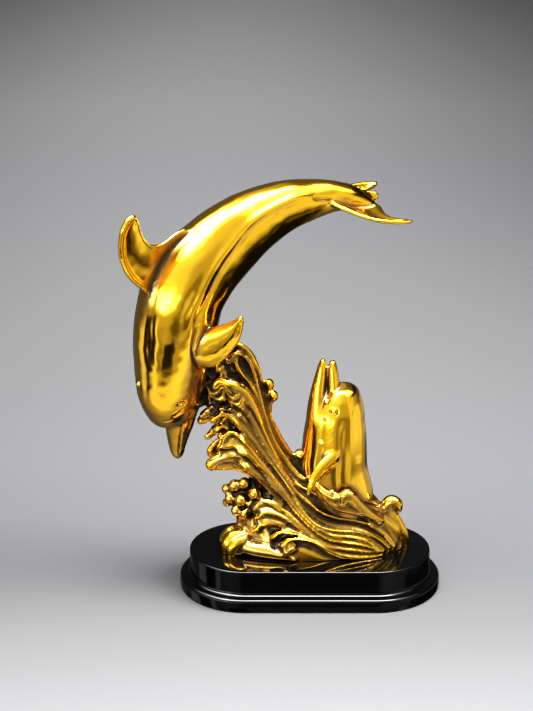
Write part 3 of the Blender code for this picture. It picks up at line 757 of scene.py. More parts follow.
# %% Ribs of the wave
CREST_HEIGHT = 0.9  # how far a rib's crest stands over its line
RISE = math.radians(20)  # what stands off the shell also rises, by this angle
CREST_EDGE = [
    (0, 66, -4), (-9, 73, -8), (-18, 83, -9), (-26, 98, -8), (-32, 111, -7), (-38, 124, -7), (-42, 138, -7),
    (-43, 149, -6), (-46, 161, -4), (-51, 171, -3), (-58, 177), (-66, 178, 2),
]
CREST = [
    (-2, 65, 1), (-9, 70), (-15, 76), (-22, 86), (-28, 96), (-33, 107), (-38, 123), (-42, 138, 1),
    (-45, 148, 1), (-48, 157, 2), (-52, 166, 3), (-58, 172, 5), (-64, 171, 6), (-67, 166, 6),
]
PLUME = [
    [
        (2, 61), (-5, 66), (-11, 71, -1), (-19, 80, -1), (-26, 90, -1), (-31, 100, -1), (-35, 111, -1),
        (-39, 122, -1), (-42, 131, -1), (-46, 140, -1), (-50, 147), (-56, 154, 1), (-60, 161, 3),
        (-62, 168, 3),
    ],
    [
        (72, 6), (66, 16), (56, 26), (40, 38), (24, 43), (12, 48), (2, 56), (-7, 60), (-15, 66), (-22, 75),
        (-28, 85), (-33, 95), (-38, 107), (-42, 119, 1), (-46, 129, 2), (-51, 138, 4), (-58, 144, 7),
        (-66, 145, 12), (-75, 146, 15), (-78, 142, 15),
    ],
    [
        (66, 5), (57, 15), (49, 20), (41, 23), (30, 25), (20, 26), (10, 29), (2, 34), (-5, 41), (-10, 47),
        (-14, 53), (-19, 61), (-25, 69), (-32, 78), (-40, 87, 1), (-47, 95, 3), (-53, 102, 6),
        (-60, 110, 10), (-67, 115, 13), (-75, 116, 15), (-80, 112, 15),
    ],
    [
        (58, 4), (50, 9), (40, 13), (30, 15), (20, 17), (11, 20), (3, 26), (-5, 33), (-13, 41), (-19, 48),
        (-24, 55), (-29, 62, 1), (-35, 69, 2), (-41, 76, 4), (-47, 82, 7), (-53, 87, 10), (-60, 90, 13),
        (-67, 91, 15), (-74, 88, 15),
    ],
]
LIP = [
    (-24, 46), (-29, 51), (-34, 58, 1), (-40, 65, 3), (-46, 71, 6), (-53, 76, 10), (-61, 79, 13),
    (-70, 80, 15), (-78, 77, 15), (-82, 74, 14),
]
BETWEEN = [
    [
        (70, 5), (62, 16), (52, 27), (40, 32), (25, 35), (14, 38), (7, 41), (-2, 48), (-9, 54), (-14, 60),
        (-21, 69), (-28, 79), (-34, 87), (-40, 96, 1), (-46, 105, 2), (-52, 113, 4), (-58, 119, 7),
        (-65, 121, 10), (-73, 120, 12),
    ],
    [
        (61, 4), (55, 9), (49, 14), (39, 18), (30, 20), (20, 21), (12, 24), (4, 29), (-5, 37), (-13, 45),
        (-19, 53), (-24, 60), (-30, 68, 1), (-37, 77, 2), (-44, 85, 4), (-50, 92, 7), (-56, 98, 10),
        (-62, 101, 12), (-68, 100, 14), (-72, 95, 14),
    ],
]
LIP_UNDERSIDE = [(-38, 61, -2), (-46, 68, 2), (-54, 72, 6), (-63, 73, 10), (-72, 73, 12), (-79, 73, 13)]
FAN = [
    [
        (56, 4), (46, 6), (36, 8), (25, 10), (15, 13), (6, 18), (0, 23), (-7, 29), (-14, 35), (-20, 40),
        (-26, 44, 1), (-33, 47, 3), (-39, 46, 5), (-44, 44, 7), (-47, 39, 7),
    ],
    [
        (-2, 22, -1), (-9, 27), (-17, 32), (-23, 35, 1), (-29, 37, 3), (-35, 38, 5), (-41, 36, 6),
        (-43, 32, 6),
    ],
    [(-6, 21, -1), (-12, 24), (-20, 27, 1), (-28, 29, 3), (-36, 29, 5), (-42, 27, 6), (-45, 23, 6)],
    [(2, 18), (-5, 21, 1), (-11, 23, 2), (-17, 24, 3), (-23, 24, 4), (-28, 22, 4), (-30, 18, 4)],
]
ARCH = [
    (60, 1), (50, 1), (38, 2), (28, 4), (18, 8), (9, 13, 1), (2, 17, 2), (-6, 19, 3), (-13, 19, 4),
    (-19, 17, 4), (-22, 12, 3),
]
print("ribs on each side of the wave:", 3 + len(PLUME) + len(BETWEEN) + len(FAN))

# %% [markdown]
# The rest is added to the shell: the slab and the lump of the foot, the curl at
# the right, the collar of water round the rising dolphin, the curled tips that
# show behind the cheek, and the drops. The slab is drawn like a rib, rods and
# drops are rows of x, y, height and radius, and sheets span two lines.

# %% Foot, collar, curls and drops of the wave
SLAB = [(-12, 4, -2), (-24, 11, -2), (-36, 13, -2), (-48, 13, 0), (-60, 13, 4)]
SLAB_FOOT = [(-12, 0, -2), (-24, 0, 0), (-36, 0, 1), (-48, 0, 3), (-60, 0, 7)]
FILLER = [(-44, 0, -4, 14.0), (-46, 0, 14, 13.0), (-46, 0, 32, 12.0), (-47, 2, 46, 10.0), (-44, 4, 58, 8.0)]
RIGHT_CURL = [
    (80, 4, 2, 5.0), (78, 2, 12, 5.0), (73, 0, 22, 5.5), (68, -2, 31, 6.0), (65, -2, 38, 6.5),
    (68, -3, 43, 6.0), (73, -4, 41, 5.0), (74, -4, 37, 3.5),
]
COLLAR_CURL = [
    (58, -18, 32, 4.0), (47, -22, 42, 4.5), (38, -23, 51, 5.2), (33, -24, 57, 5.8), (28, -25, 59, 5.2),
    (27, -26, 54, 4.0),
]
COLLAR = [
    (60, -8, 36, 3.5), (50, -18, 45, 3.5), (36, -23, 52, 3.0), (22, -24, 54, 3.0), (10, -20, 60, 3.5),
    (0, -12, 68, 4.0),
]
STEM = [(-37, 9, 108, 5.0), (-36, 9, 122, 4.6), (-36, 9, 134, 4.6)]
BACK_CURLS = [
    [(-62, 10, 112, 5.0), (-80, 10, 116, 4.0), (-91, 8, 112, 3.6)],
    [(-62, 8, 101, 5.0), (-78, 6, 105, 4.0), (-85, 4, 99, 3.4)],
    [(-62, 6, 91, 5.0), (-76, 3, 94, 4.0), (-83, 1, 88, 3.4)],
    [(-68, 12, 136, 5.0), (-84, 10, 131, 4.4), (-95, 8, 124, 3.0)],
    [(-66, 8, 122, 4.5), (-80, 2, 124, 4.0), (-90, 0, 119, 3.0)],
]
TOES = [
    [(-58, -4, 18, 5.0), (-66, -5, 16, 5.6), (-71, -5, 10, 5.4), (-72, -5, 4, 5.0)],
    [(-56, -9, 17, 4.6), (-64, -11, 15, 5.2), (-69, -12, 9, 5.2), (-70, -12, 3, 4.8)],
    [(-54, -13, 14, 4.2), (-60, -16, 12, 4.8), (-65, -17, 7, 4.8), (-66, -17, 2, 4.4)],
]
COLLAR_SHEETS = [
    (
        [(72, -4, 36), (66, -4, 34), (60, -6, 36), (50, -16, 44)],
        [(80, 2, 8), (70, -10, 12), (60, -18, 18), (50, -22, 26)],
        3.0,
    ),
    (
        [(67, -4, 29), (60, -8, 35), (50, -18, 44), (36, -23, 52), (22, -24, 54), (10, -20, 60)],
        [(67, -5, 27), (61, -10, 30), (50, -20, 34), (34, -25, 40), (20, -25, 44), (8, -20, 51)],
        2.6,
    ),
    (
        [(28, -25, 60), (34, -24, 55), (42, -23, 48), (54, -17, 38)],
        [(26, -24, 46), (34, -25, 42), (42, -24, 38), (55, -17, 35)],
        2.4,
    ),
]
ROCK = [(-58, -3, -4, 10.0), (-55, 0, 12, 8.5), (-54, 1, 26, 8.0), (-56, 1, 42, 10.0), (-55, 3, 54, 7.0)]
DROPS = [
    (-32, 9, 133, 5.4), (-35, 10, 143, 5.0), (-8, 8, 79, 7.0),
    (-46, -12, 54, 6.0), (-58, -9, 47, 5.4), (-67, -3, 46, 4.8), (-63, -2, 57, 5.6), (-70, 1, 53, 4.4),
    (-55, -4, 60, 5.4), (-70, 2, 40, 4.0), (-54, -13, 36, 4.8), (-62, -8, 37, 4.6), (-49, -13, 44, 4.2),
    (-64, -8, 8, 9.5), (-60, -14, 5, 6.0),
    (-20, -27, 9, 4.6), (-15, -28, 13, 4.4), (-24, -26, 14, 3.8),
    (22, -24, 57, 3.6), (17, -22, 60, 3.0), (25, -25, 52, 3.4),
    (52, -17, 40, 4.0), (57, -14, 35, 3.6), (47, -19, 46, 3.2),
]
print(len(DROPS), "drops")

# %% [markdown]
# Ribs lie close, so each takes its thickness from the room that its neighbours
# leave, and it is sunk so that only a low crest stands out of the shell. Past
# the shell's edge a web closes the fold between two ribs, like wet cloth.


# %% Shaping of the wave
def on_shell(rows, back=False):
    """Points of the wave's surface for rows of x, height and stand-off, which is 0 where it isn't given."""
    rows = np.array([(*row, 0)[:3] for row in rows], float)
    shell = np.array(SHELL, float)
    left, right, middle, deep = [np.interp(rows[:, 1], shell[:, 0], shell[:, k]) for k in (1, 2, 3, 4)]
    across = np.clip((rows[:, 0] - (left + right) / 2) / ((right - left) / 2), -1.0, 1.0)
    off = deep * np.sqrt(1.0 - across**2) + rows[:, 2] * math.cos(RISE)
    height = rows[:, 1] + rows[:, 2] * math.sin(RISE)
    return np.column_stack([rows[:, 0], middle + off * (1 if back else -1), height])


def drawn(rows, back=False, count=90):
    return spaced(on_shell(rows, back), count)


def rib(bm, line, foot, middle, tip, knob=0.0):
    """A rib of the wave along a line, with its radius at the foot, half way and at the tip."""
    radius = np.interp(np.linspace(0.0, 1.0, len(line)), [0.0, 0.45, 1.0], [foot, middle, tip])
    cord(bm, line, radius, knob)


def family(bm, lines, beside, widest, knob, back=False):
    """Ribs side by side, thicker towards their curled tips, and sunk to leave a low crest."""
    for line in lines:
        apart = [np.linalg.norm(line[:, None] - other[None], axis=2) for other in beside if other is not line]
        room = np.min([distance.min(axis=1) for distance in apart], axis=0)
        share = faded(np.linspace(0.0, 1.0, len(line)), 0.68, 0.98)
        # Slim up to two thirds of its length, and widening from there to the tip
        radius = np.clip(0.36 * room, 1.0, 2.4 + (widest - 2.4) * share)
        radius = np.convolve(np.pad(radius, 3, mode="edge"), np.full(7, 1 / 7), mode="valid")
        sunk = line.copy()
        sunk[:, 1] += (radius - CREST_HEIGHT) * (-1 if back else 1)
        cord(bm, sunk, radius, knob)


def web(bm, first, second, half, start=0.0, end=1.0):
    """A sheet between two lines, over a part of their length, which closes the fold between two ribs."""
    share = np.linspace(start, end, 48)
    edges = []
    for line in (first, second):
        at = np.linspace(0.0, 1.0, len(line))
        edges.append(np.column_stack([np.interp(share, at, column) for column in np.asarray(line)[:, :3].T]))
    middle, chord = (edges[0] + edges[1]) / 2, (edges[1] - edges[0]) / 2
    side = unit(np.cross(np.gradient(middle, axis=0), chord))
    angle = np.linspace(0.0, 2 * math.pi, 32, endpoint=False)
    loft(
        bm,
        middle[:, None, :]
        + np.cos(angle)[None, :, None] * chord[:, None, :]
        + np.sin(angle)[None, :, None] * half * side[:, None, :],
    )


def slab(bm, slices, inset):
    """A solid through level elliptical slices, this much thinner all round than they say."""
    rows = spaced([((low + high) / 2, y, z, (high - low) / 2, deep) for z, low, high, y, deep in slices], 90)
    angle = np.linspace(0.0, 2 * math.pi, 96, endpoint=False)
    wide = np.maximum(rows[:, 3:4] - inset, 1.5)
    deep = np.maximum(rows[:, 4:5] - inset, 1.5)
    level = np.stack([np.cos(angle) * wide, np.sin(angle) * deep, 0 * angle * wide], axis=2)
    loft(bm, rows[:, None, :3] + level)


def wave_lines(back):
    """The crests of the wave in their order from the top down, with the slighter ones between them."""
    rows = [CREST, PLUME[0], PLUME[1], BETWEEN[0], PLUME[2], BETWEEN[1], PLUME[3], LIP, *FAN, ARCH]
    return [drawn(row, back) for row in rows]


# The number of the upper of two crests, half the web's thickness, and where along them it starts and ends
WEBS = [
    (2, 2.0, 0.5, 0.96), (3, 1.6, 0.5, 0.96), (5, 1.8, 0.5, 0.96), (6, 2.2, 0.5, 0.96),
    (8, 1.6, 0.55, 0.95), (9, 1.6, 0.4, 0.95),
]
LIP_NUMBER = 7


def draw_wave(bm):
    slab(bm, SHELL, CORE_INSET)
    slab(bm, BACKING, 0.0)
    for back in (False, True):
        lines = wave_lines(back)
        family(bm, [line for k, line in enumerate(lines) if k != LIP_NUMBER], lines, 4.2, 4.2, back)
        for upper, half, start, end in WEBS:
            web(bm, lines[upper], lines[upper + 1], half, start, end)
        rib(bm, drawn(LIP, back), 2.0, 4.2, 4.8, knob=5.4)
        rib(bm, drawn(LIP_UNDERSIDE, back), 3.0, 4.4, 4.0)
        web(bm, drawn(SLAB, back), drawn(SLAB_FOOT, back), 5.0)
    rib(bm, drawn(CREST_EDGE), 3.2, 3.4, 4.0)
    for rows in [ROCK, FILLER, RIGHT_CURL, COLLAR_CURL, COLLAR, STEM, *TOES, *BACK_CURLS]:
        line = spaced(rows, 40)
        cord(bm, line[:, :3], line[:, 3])
    for upper, lower, half in COLLAR_SHEETS:
        web(bm, spaced(upper, 40), spaced(lower, 40), half)
    for x, y, z, radius in DROPS:
        ball(bm, (x, y, z), radius)


wave = fused("breaking_wave", draw_wave, voxel=0.95, relax=6)

# %% [markdown]
# The water hangs in folds, each steep under its upper rib and easing out to the
# lower one, with two fine grooves along it. How deep a point sinks depends only
# on how far it lies from the two nearest ribs, so the folds follow the flow by
# themselves.


# %% Measuring the folds
def two_nearest(points, lines):
    """How far each point is from its nearest two lines, and the step between the lines' numbers."""
    near = np.full((2, len(points)), 1e3)
    number = np.zeros((2, len(points)))
    for k, line in enumerate(lines):
        apart = np.concatenate(
            [
                np.linalg.norm(part[:, None] - line[None], axis=2).min(axis=1)
                for part in np.array_split(points, len(points) // BATCH + 1)
            ]
        )
        nearer, between = apart < near[0], (apart >= near[0]) & (apart < near[1])
        near[1] = np.where(nearer, near[0], np.where(between, apart, near[1]))
        number[1] = np.where(nearer, number[0], np.where(between, k, number[1]))
        near[0] = np.where(nearer, apart, near[0])
        number[0] = np.where(nearer, k, number[0])
    return near[0], near[1], number[1] - number[0]


def curls_of_foam(points):
    """A pattern of small curls, 0 along thin lines and up to 1 between them."""
    bent = points + 2.6 * np.sin(points[:, [1, 2, 0]] * 0.42 + [0.3, 1.7, 2.9])
    waves = np.sin(bent[:, 0] * 0.46) + np.sin(bent[:, 1] * 0.5 + 1.0) + np.sin(bent[:, 2] * 0.52 + 2.0)
    return np.clip(np.abs(waves) / 1.1, 0.0, 1.0)


# %% [markdown]
# The same measures say how dark each point is coloured, by the umber wash and
# by painted shade: darkest in the trough of a fold and lightest on a crest.
# That is the wave's tone, which is added to the measure of the whole casting
# later. After the folds the skin is averaged a little, which rounds their edges
# as the plating does.

# %% Carving of the wave
FOLD_DEPTH = 2.7  # the deepest fold, in millimetres
FINE_GROOVES = [(0.52, 0.3), (0.76, 0.2)]  # share of the way down a fold, and depth in millimetres

points, normals = points_of(wave)
sink, tone = np.zeros(len(points)), np.full(len(points), 0.22)
for back in (False, True):
    side = np.flatnonzero(normals[:, 1] > 0 if back else normals[:, 1] <= 0)
    nearest, second, step = two_nearest(points[side], wave_lines(back))
    pitch = nearest + second
    # 0 at the upper of the two crests and 1 at the lower one
    down = np.where(step > 0, nearest, second) / pitch
    flat_on = faded(np.abs(normals[side, 1]), 0.05, 0.35) * faded(pitch, 22.0, 16.0)
    trough = np.sin(math.pi * down**0.62) ** 1.3
    x, _, z = points[side].T
    fold = np.minimum(FOLD_DEPTH, 0.28 * pitch) * trough * (1.0 - 0.4 * faded(x, 0.0, 30.0))
    for mark, depth in FINE_GROOVES:
        fold -= depth * np.exp(-(((down - mark) * pitch) / 0.8) ** 2) * faded(pitch, 6.5, 9.5)
    sink[side] = fold * flat_on
    # Wash and painted shade, darkest in a fold's trough and lightest on its crest; the right half is given
    # less of it
    washed_and_shaded = flat_on * (1.0 - 0.4 * faded(x, -5.0, 35.0))
    tone[side] += washed_and_shaded * (0.18 + 0.32 * trough - 0.5 * np.exp(-((nearest / 1.5) ** 2)))
    # Where the ribs part, the foam behind them shows: low curled ridges
    foam = faded(nearest, 4.0, 7.0) * faded(z, 92.0, 104.0) * faded(x, -48.0, -56.0)
    curly = curls_of_foam(points[side])
    sink[side] += foam * 1.5 * (curly - 0.5)
    # The curls' low parts are coloured darker, with wash and painted shade
    tone[side] += foam * (0.5 * curly - 0.1)
    # More wash and painted shade lie between the drops at the left, on the foot under them and on the collar
    tone[side] += 0.3 * faded(x, -44.0, -50.0) * faded(z, 26.0, 32.0) * faded(z, 66.0, 60.0)
    tone[side] += 0.25 * faded(x, -8.0, -14.0) * faded(x, -62.0, -56.0) * faded(z, 18.0, 14.0)
    tone[side] += 0.22 * faded(x, 4.0, 10.0) * faded(z, 30.0, 36.0)
points -= normals * sink[:, None]
points = averaged(wave, points, 3)
move_points(wave, points)
print("folds sink by up to", round(sink.max(), 2), "mm")

# %% [markdown]
# ## Gold plating
# Polished resin is plated, and the plating takes its own colour from gold: a
# metal, so it has no diffuse colour of its own and all that shows is reflected.
# A thin clear lacquer over it gives the white sparkle. The wave is then
# washed with umber, which stays in the hollows, and wiped, which leaves a
# satin bloom between the hollows and the bright ridges. The same dark colours
# are also painted shade, laid into the creases and shut-in places of the
# whole casting.

# %% Gold plating
# How thick the wash and the painted shade lie, and the colour of the metal there
WASH_AND_SHADE = [
    (0.0, "#ffc61a"), (0.2, "#ecb53c"), (0.42, "#c8a052"),
    (0.62, "#9c792e"), (0.82, "#604812"), (1.0, "#302205"),
]
gold, tree, shader = new_material("gold_plating")
wash_and_shade = add_node(tree, "ShaderNodeAttribute", {"attribute_name": "wash_and_shade"}).outputs["Fac"]
place = add_node(tree, "ShaderNodeTexCoord").outputs["Object"]
# The wash and the painted shade vary in blotches about 4 mm across
noise = add_node(
    tree, "ShaderNodeTexNoise", None, Vector=place, Scale=1 / (4 * MM), Detail=3.0, Roughness=0.6
)
blotch = add_node(
    tree, "ShaderNodeMapRange", None, Value=noise.outputs["Fac"],
    From_Min=0.3, From_Max=0.7, To_Min=0.9, To_Max=1.1,
).outputs[0]
wash_and_shade = add_node(
    tree, "ShaderNodeMath", {"operation": "MULTIPLY", "use_clamp": True}, _0=wash_and_shade, _1=blotch
).outputs[0]
ramp = add_node(tree, "ShaderNodeValToRGB", None, _0=wash_and_shade)
while len(ramp.color_ramp.elements) < len(WASH_AND_SHADE):
    ramp.color_ramp.elements.new(0.5)
for element, (position, shade) in zip(ramp.color_ramp.elements, WASH_AND_SHADE):
    element.position = position
    element.color = linear(shade)
# Bright plating is nearly a mirror. Where the wash and the painted shade lie, it is rougher and less of a
# metal
rough = add_node(tree, "ShaderNodeMapRange", None, Value=wash_and_shade, To_Min=0.14, To_Max=0.36).outputs[0]
metal = add_node(
    tree, "ShaderNodeMapRange", None, Value=wash_and_shade, From_Min=0.6, To_Min=1.0, To_Max=0.6
).outputs[0]
# Polishing leaves a faint orange-peel, about 1.5 mm from crest to crest
peel = add_node(tree, "ShaderNodeTexNoise", None, Vector=place, Scale=650.0, Detail=2.0).outputs["Fac"]
bump = add_node(tree, "ShaderNodeBump", None, Height=peel, Strength=0.12, Distance=0.0002).outputs[0]
tree.links.new(ramp.outputs[0], shader.inputs["Base Color"])
tree.links.new(rough, shader.inputs["Roughness"])
tree.links.new(metal, shader.inputs["Metallic"])
tree.links.new(bump, shader.inputs["Normal"])
shader.inputs["Coat Weight"].default_value = 0.8
shader.inputs["Coat Roughness"].default_value = 0.08
# The wave has the same plating under the wash, with hardly any lacquer left on it
antiqued = gold.copy()
antiqued.name = "antiqued_gold_plating"
antiqued.node_tree.nodes["Principled BSDF"].inputs["Coat Weight"].default_value = 0.3
print("materials:", gold.name, "and", antiqued.name)

# %% [markdown]
# How dark a spot is painted depends on how shut in it is: that is painted
# shade, and on the wave it goes with the umber wash. That is measured: the
# casting is filled into a grid of small cells, the grid is blurred, and each
# point of the skin looks up how much solid lies round the air just above it.
# On a flat face that is about a sixth, on a crest less, in a hollow more.

# %% A grid of the casting
CELL = 2.5
GRID_LOW, GRID_HIGH = np.array([-175.0, -80.0, -10.0]), np.array([110.0, 100.0, 330.0])


def filled_cells(pieces):
    """A grid of 0 and 1 over the casting: 1 where a cell's middle lies inside a piece."""
    size = ((GRID_HIGH - GRID_LOW) / CELL).astype(int)
    cells = np.zeros(size)
    depths = GRID_LOW[1] + CELL * (np.arange(size[1]) + 0.5)
    for piece in pieces:
        bm = bmesh.new()
        bm.from_mesh(piece.data)
        tree = BVHTree.FromBMesh(bm)
        bm.free()
        for i in range(size[0]):
            for k in range(size[2]):
                x, z = GRID_LOW[0] + CELL * (i + 0.5), GRID_LOW[2] + CELL * (k + 0.5)
                start, inside = GRID_LOW[1] * MM, None
                while True:
                    hit = tree.ray_cast(Vector((x * MM, start, z * MM + PLINTH_TOP)), Vector((0, 1, 0)))[0]
                    if hit is None:
                        break
                    if inside is None:
                        inside = hit.y / MM
                    else:
                        cells[i, (depths > inside) & (depths < hit.y / MM), k] = 1.0
                        inside = None
                    start = hit.y + 1e-5
    return cells


def blurred(cells, spread):
    """The grid, softened by a bell curve whose spread is given in millimetres."""
    bells = [np.exp(-2 * (math.pi * np.fft.fftfreq(count) * spread / CELL) ** 2) for count in cells.shape]
    return np.real(np.fft.ifftn(np.fft.fftn(cells) * bells[0][:, None, None] * bells[1][:, None] * bells[2]))


def looked_up(cells, places):
    """The grid's value at each place, blended from the eight cells round it."""
    at = np.clip((places - GRID_LOW) / CELL - 0.5, 0.0, np.array(cells.shape) - 1.001)
    low = at.astype(int)
    part = at - low
    total = np.zeros(len(places))
    for corner in np.ndindex(2, 2, 2):
        weight = np.prod(np.where(corner, part, 1.0 - part), axis=1)
        total += weight * cells[tuple((low + corner).T)]
    return total


cells = filled_cells((diver, riser, wave))
print("filled", round(cells.sum() * CELL**3 / 1e6, 3), "litres")

# %% [markdown]
# Two measures are taken, one for narrow grooves and one for wide bays, and a
# third tells how far a point lies under its own surroundings: each adds painted
# shade. The wave adds the tone of its folds. More painted shade goes at the root
# of the fin on the back, and on the cheek beside the wave.

# %% Painted shade and wash on each point
NEAR, FAR = 4.0, 9.0  # how wide each measure looks, in millimetres
FLAT, SHUT_IN = 0.18, 0.48  # share of solid over a flat face, and where the painted shade and wash are darkest
FIN_ROOT_REACH = 8.0


def beside_the_fin(points):
    """1 at the root of the diving dolphin's back fin, and less away from it."""
    origin, forward, _, up = place_on(DIVER, (-103, -7, 227))
    root = origin + 33 * up - np.linspace(-12, 50, 24)[:, None] * forward
    apart = np.min([np.linalg.norm(points - place, axis=1) for place in root], axis=0)
    return np.exp(-((apart / FIN_ROOT_REACH) ** 2))


narrow, wide = blurred(cells, NEAR), blurred(cells, FAR)
for piece in (diver, riser, eyes, sockets, wave):
    points, normals = points_of(piece)
    crease = rounded(piece, 10)
    # Painted shade: the more solid round the air above a point, the darker it is coloured
    near_shut = faded(looked_up(narrow, points + NEAR * normals), FLAT, SHUT_IN)
    far_shut = faded(looked_up(wide, points + FAR * normals), FLAT, SHUT_IN)
    if piece is wave:
        # On the wave this is the umber wash together with painted shade
        wash_and_shade = 0.45 * near_shut + 0.35 * far_shut + tone + 0.4 * np.clip(crease / 0.4, -0.6, 0.6)
    elif piece is sockets:
        # The domes under the eyes take the darkest colour all over
        wash_and_shade = np.ones(len(points))
    else:
        # On the dolphins and the eyes it is painted shade only
        wash_and_shade = near_shut + 0.5 * far_shut
    if piece in (diver, riser):
        # Painted shade in the dolphins' creases
        wash_and_shade += 0.8 * faded(crease, 0.08, 0.33)
    if piece is diver:
        # Painted shade at the root of the back fin, and on the cheek that faces the wave
        cheek_shade = faded(normals[:, 0], 0.3, 0.7) * faded(points[:, 2], 205.0, 180.0)
        wash_and_shade += 0.4 * beside_the_fin(points) + 0.5 * cheek_shade
    store(piece, "wash_and_shade", np.clip(wash_and_shade, 0.0, 1.0))
    piece.data.materials.append(antiqued if piece is wave else gold)
    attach(piece, "root")
    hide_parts("dolphins_and_wave")
    print(piece.name, "has a mean wash of", round(float(np.clip(wash_and_shade, 0.0, 1.0).mean()), 2))
# The wave's skin is a little too dense for a library part, so it is thinned out last
MOST_TRIANGLES = 190000
thin = wave.modifiers.new("thin_out", "DECIMATE")
thin.ratio = min(1.0, MOST_TRIANGLES / (2 * len(wave.data.polygons)))

# %% [markdown]
# ## The plinth
# A board is turned and moulded in two tiers, filled, sprayed black and rubbed
# to a mirror. The lower tier has a hollow moulding, a fine step and a rounded
# shoulder, which catch the light as bright lines round the base.

# %% Plinth
TOP_LENGTH, TOP_DEPTH = 0.203, 0.097
STEP_WIDTH = 0.0085  # how far the lower tier stands out
SHOULDER_TOP, COVE_BOTTOM, TIER_FOOT = 0.0113, 0.0116, 0.0160
FOOT_RADIUS, SHOULDER_RADIUS, COVE_RADIUS, EDGE_RADIUS = 0.0008, 0.0030, 0.0030, 0.0013
END_SEGMENTS = 96


def stadium(length, depth, z):
    """A ring of points round a straight-sided outline with half-round ends."""
    radius = depth / 2
    turn = np.linspace(-math.pi / 2, math.pi / 2, END_SEGMENTS + 1)
    right = np.column_stack([length / 2 - radius + radius * np.cos(turn), radius * np.sin(turn)])
    run = np.linspace(0.0, 1.0, 25)[1:-1, None]
    top = right[-1] + run * (np.array([-right[-1][0], right[-1][1]]) - right[-1])
    ring = np.vstack([right, top, -right, -top])
    return np.column_stack([ring, np.full(len(ring), z)])


def arc(centre, radius, start, end, count=9):
    """Points of an arc, as width and height, between two angles in degrees."""
    turn = np.radians(np.linspace(start, end, count))
    return [(centre[0] + radius * math.cos(a), centre[1] + radius * math.sin(a)) for a in turn]


profile = [
    *arc((STEP_WIDTH - FOOT_RADIUS, FOOT_RADIUS), FOOT_RADIUS, -90, 0, 5),
    *arc((STEP_WIDTH - SHOULDER_RADIUS, SHOULDER_TOP - SHOULDER_RADIUS), SHOULDER_RADIUS, 0, 90),
    *arc((COVE_RADIUS, COVE_BOTTOM + COVE_RADIUS), COVE_RADIUS, 270, 180),
    (0.0, TIER_FOOT),
    *arc((-EDGE_RADIUS, PLINTH_TOP - EDGE_RADIUS), EDGE_RADIUS, 0, 90),
]
bm = bmesh.new()
rings = [stadium(TOP_LENGTH + 2 * x, TOP_DEPTH + 2 * x, z) for x, z in profile]
loft(bm, rings)
bmesh.ops.recalc_face_normals(bm, faces=bm.faces)
plinth = new_object("lacquered_plinth", bm)
plinth.data.shade_smooth()
plinth.data.set_sharp_from_angle(angle=math.radians(40))
print("plinth is", round((TOP_LENGTH + 2 * STEP_WIDTH) * 1000, 1), "mm long")

# %% [markdown]
# Black gloss lacquer is a clear resin full of black pigment. The eye sees no
# colour of its own, only the casting and the lamps mirrored in it, fainter than
# in the metal, and sharp because the last coat was rubbed with a fine paste.

# %% Black lacquer
lacquer, tree, shader = new_material("lacquered_board")
place = add_node(tree, "ShaderNodeTexCoord").outputs["Object"]
# Rubbing leaves a haze that is only just uneven, in patches about 30 mm across
haze = add_node(tree, "ShaderNodeTexNoise", None, Vector=place, Scale=35.0, Detail=4.0).outputs["Fac"]
rough = add_node(
    tree, "ShaderNodeMapRange", None, Value=haze, From_Min=0.3, From_Max=0.7, To_Min=0.05, To_Max=0.10
).outputs[0]
tree.links.new(rough, shader.inputs["Roughness"])
shader.inputs["Base Color"].default_value = linear("#020202")
shader.inputs["IOR"].default_value = 1.5
shader.inputs["Specular IOR Level"].default_value = 0.3
plinth.data.materials.append(lacquer)
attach(plinth, "root")
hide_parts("plinth")
print("material:", lacquer.name)

# %% [markdown]
# ## Studio
# The floor is a wide pale sweep that rises all round, far from the object, so
# that any view ends in it. It is brightest near the object and fades outwards.
# It isn't seen in reflections: a metal shows its room, so the room is painted
# on the world instead, as a photographer builds it out of panels.

# %% Floor
SWEEP_RADIUS = 7.0
bm = bmesh.new()
turn = np.linspace(0.0, 2 * math.pi, 96, endpoint=False)
# Distance from the object and height of each ring of the sweep, in metres
sweep = [
    (0.3, 0.0), (1.0, 0.0), (3.0, 0.0), (5.5, 0.0),
    (6.3, 0.15), (6.8, 0.7), (SWEEP_RADIUS, 1.6), (SWEEP_RADIUS, 4.0),
]
rows = [[bm.verts.new((r * math.cos(a), r * math.sin(a), z)) for a in turn] for r, z in sweep]
bm.faces.new(rows[0])
for near, far in zip(rows, rows[1:]):
    for k in range(len(turn)):
        m = (k + 1) % len(turn)
        bm.faces.new((near[k], far[k], far[m], near[m]))
floor = new_object("studio_floor", bm)
floor.data.shade_smooth()
floor.visible_glossy = False
floor.visible_shadow = False
print("the floor's sweep is", 2 * SWEEP_RADIUS, "m across")

# %% [markdown]
# The floor is a roll of matt studio paper: dull fibres that scatter the light
# and mirror nothing. The falloff of the lamps over it is painted on, so that it
# comes out the same in every view.

# %% Studio paper
paper, tree, shader = new_material("studio_paper")
place = add_node(tree, "ShaderNodeTexCoord").outputs["Object"]
axes = add_node(tree, "ShaderNodeSeparateXYZ", None, _0=place).outputs
away = add_node(tree, "ShaderNodeMapRange", None, Value=axes[1], From_Min=-1.0, From_Max=4.0).outputs[0]
ramp = add_node(tree, "ShaderNodeValToRGB", None, _0=away)
# Share of the way from 1 m in front of the object to 4 m behind it, and how bright the paper is there: the
# lamps' painted falloff, with a painted shadow that is darkest where the object stands
stops = [
    (0.0, "#484849"), (0.16, "#474748"), (0.185, "#3d3d3d"), (0.205, "#383839"), (0.25, "#3a3a3b"),
    (0.35, "#3a3a3a"), (0.46, "#3a3a3b"), (0.61, "#3a3a3a"), (0.9, "#313131"),
]
while len(ramp.color_ramp.elements) < len(stops):
    ramp.color_ramp.elements.new(0.5)
for element, (position, shade) in zip(ramp.color_ramp.elements, stops):
    element.position = position
    element.color = linear(shade)
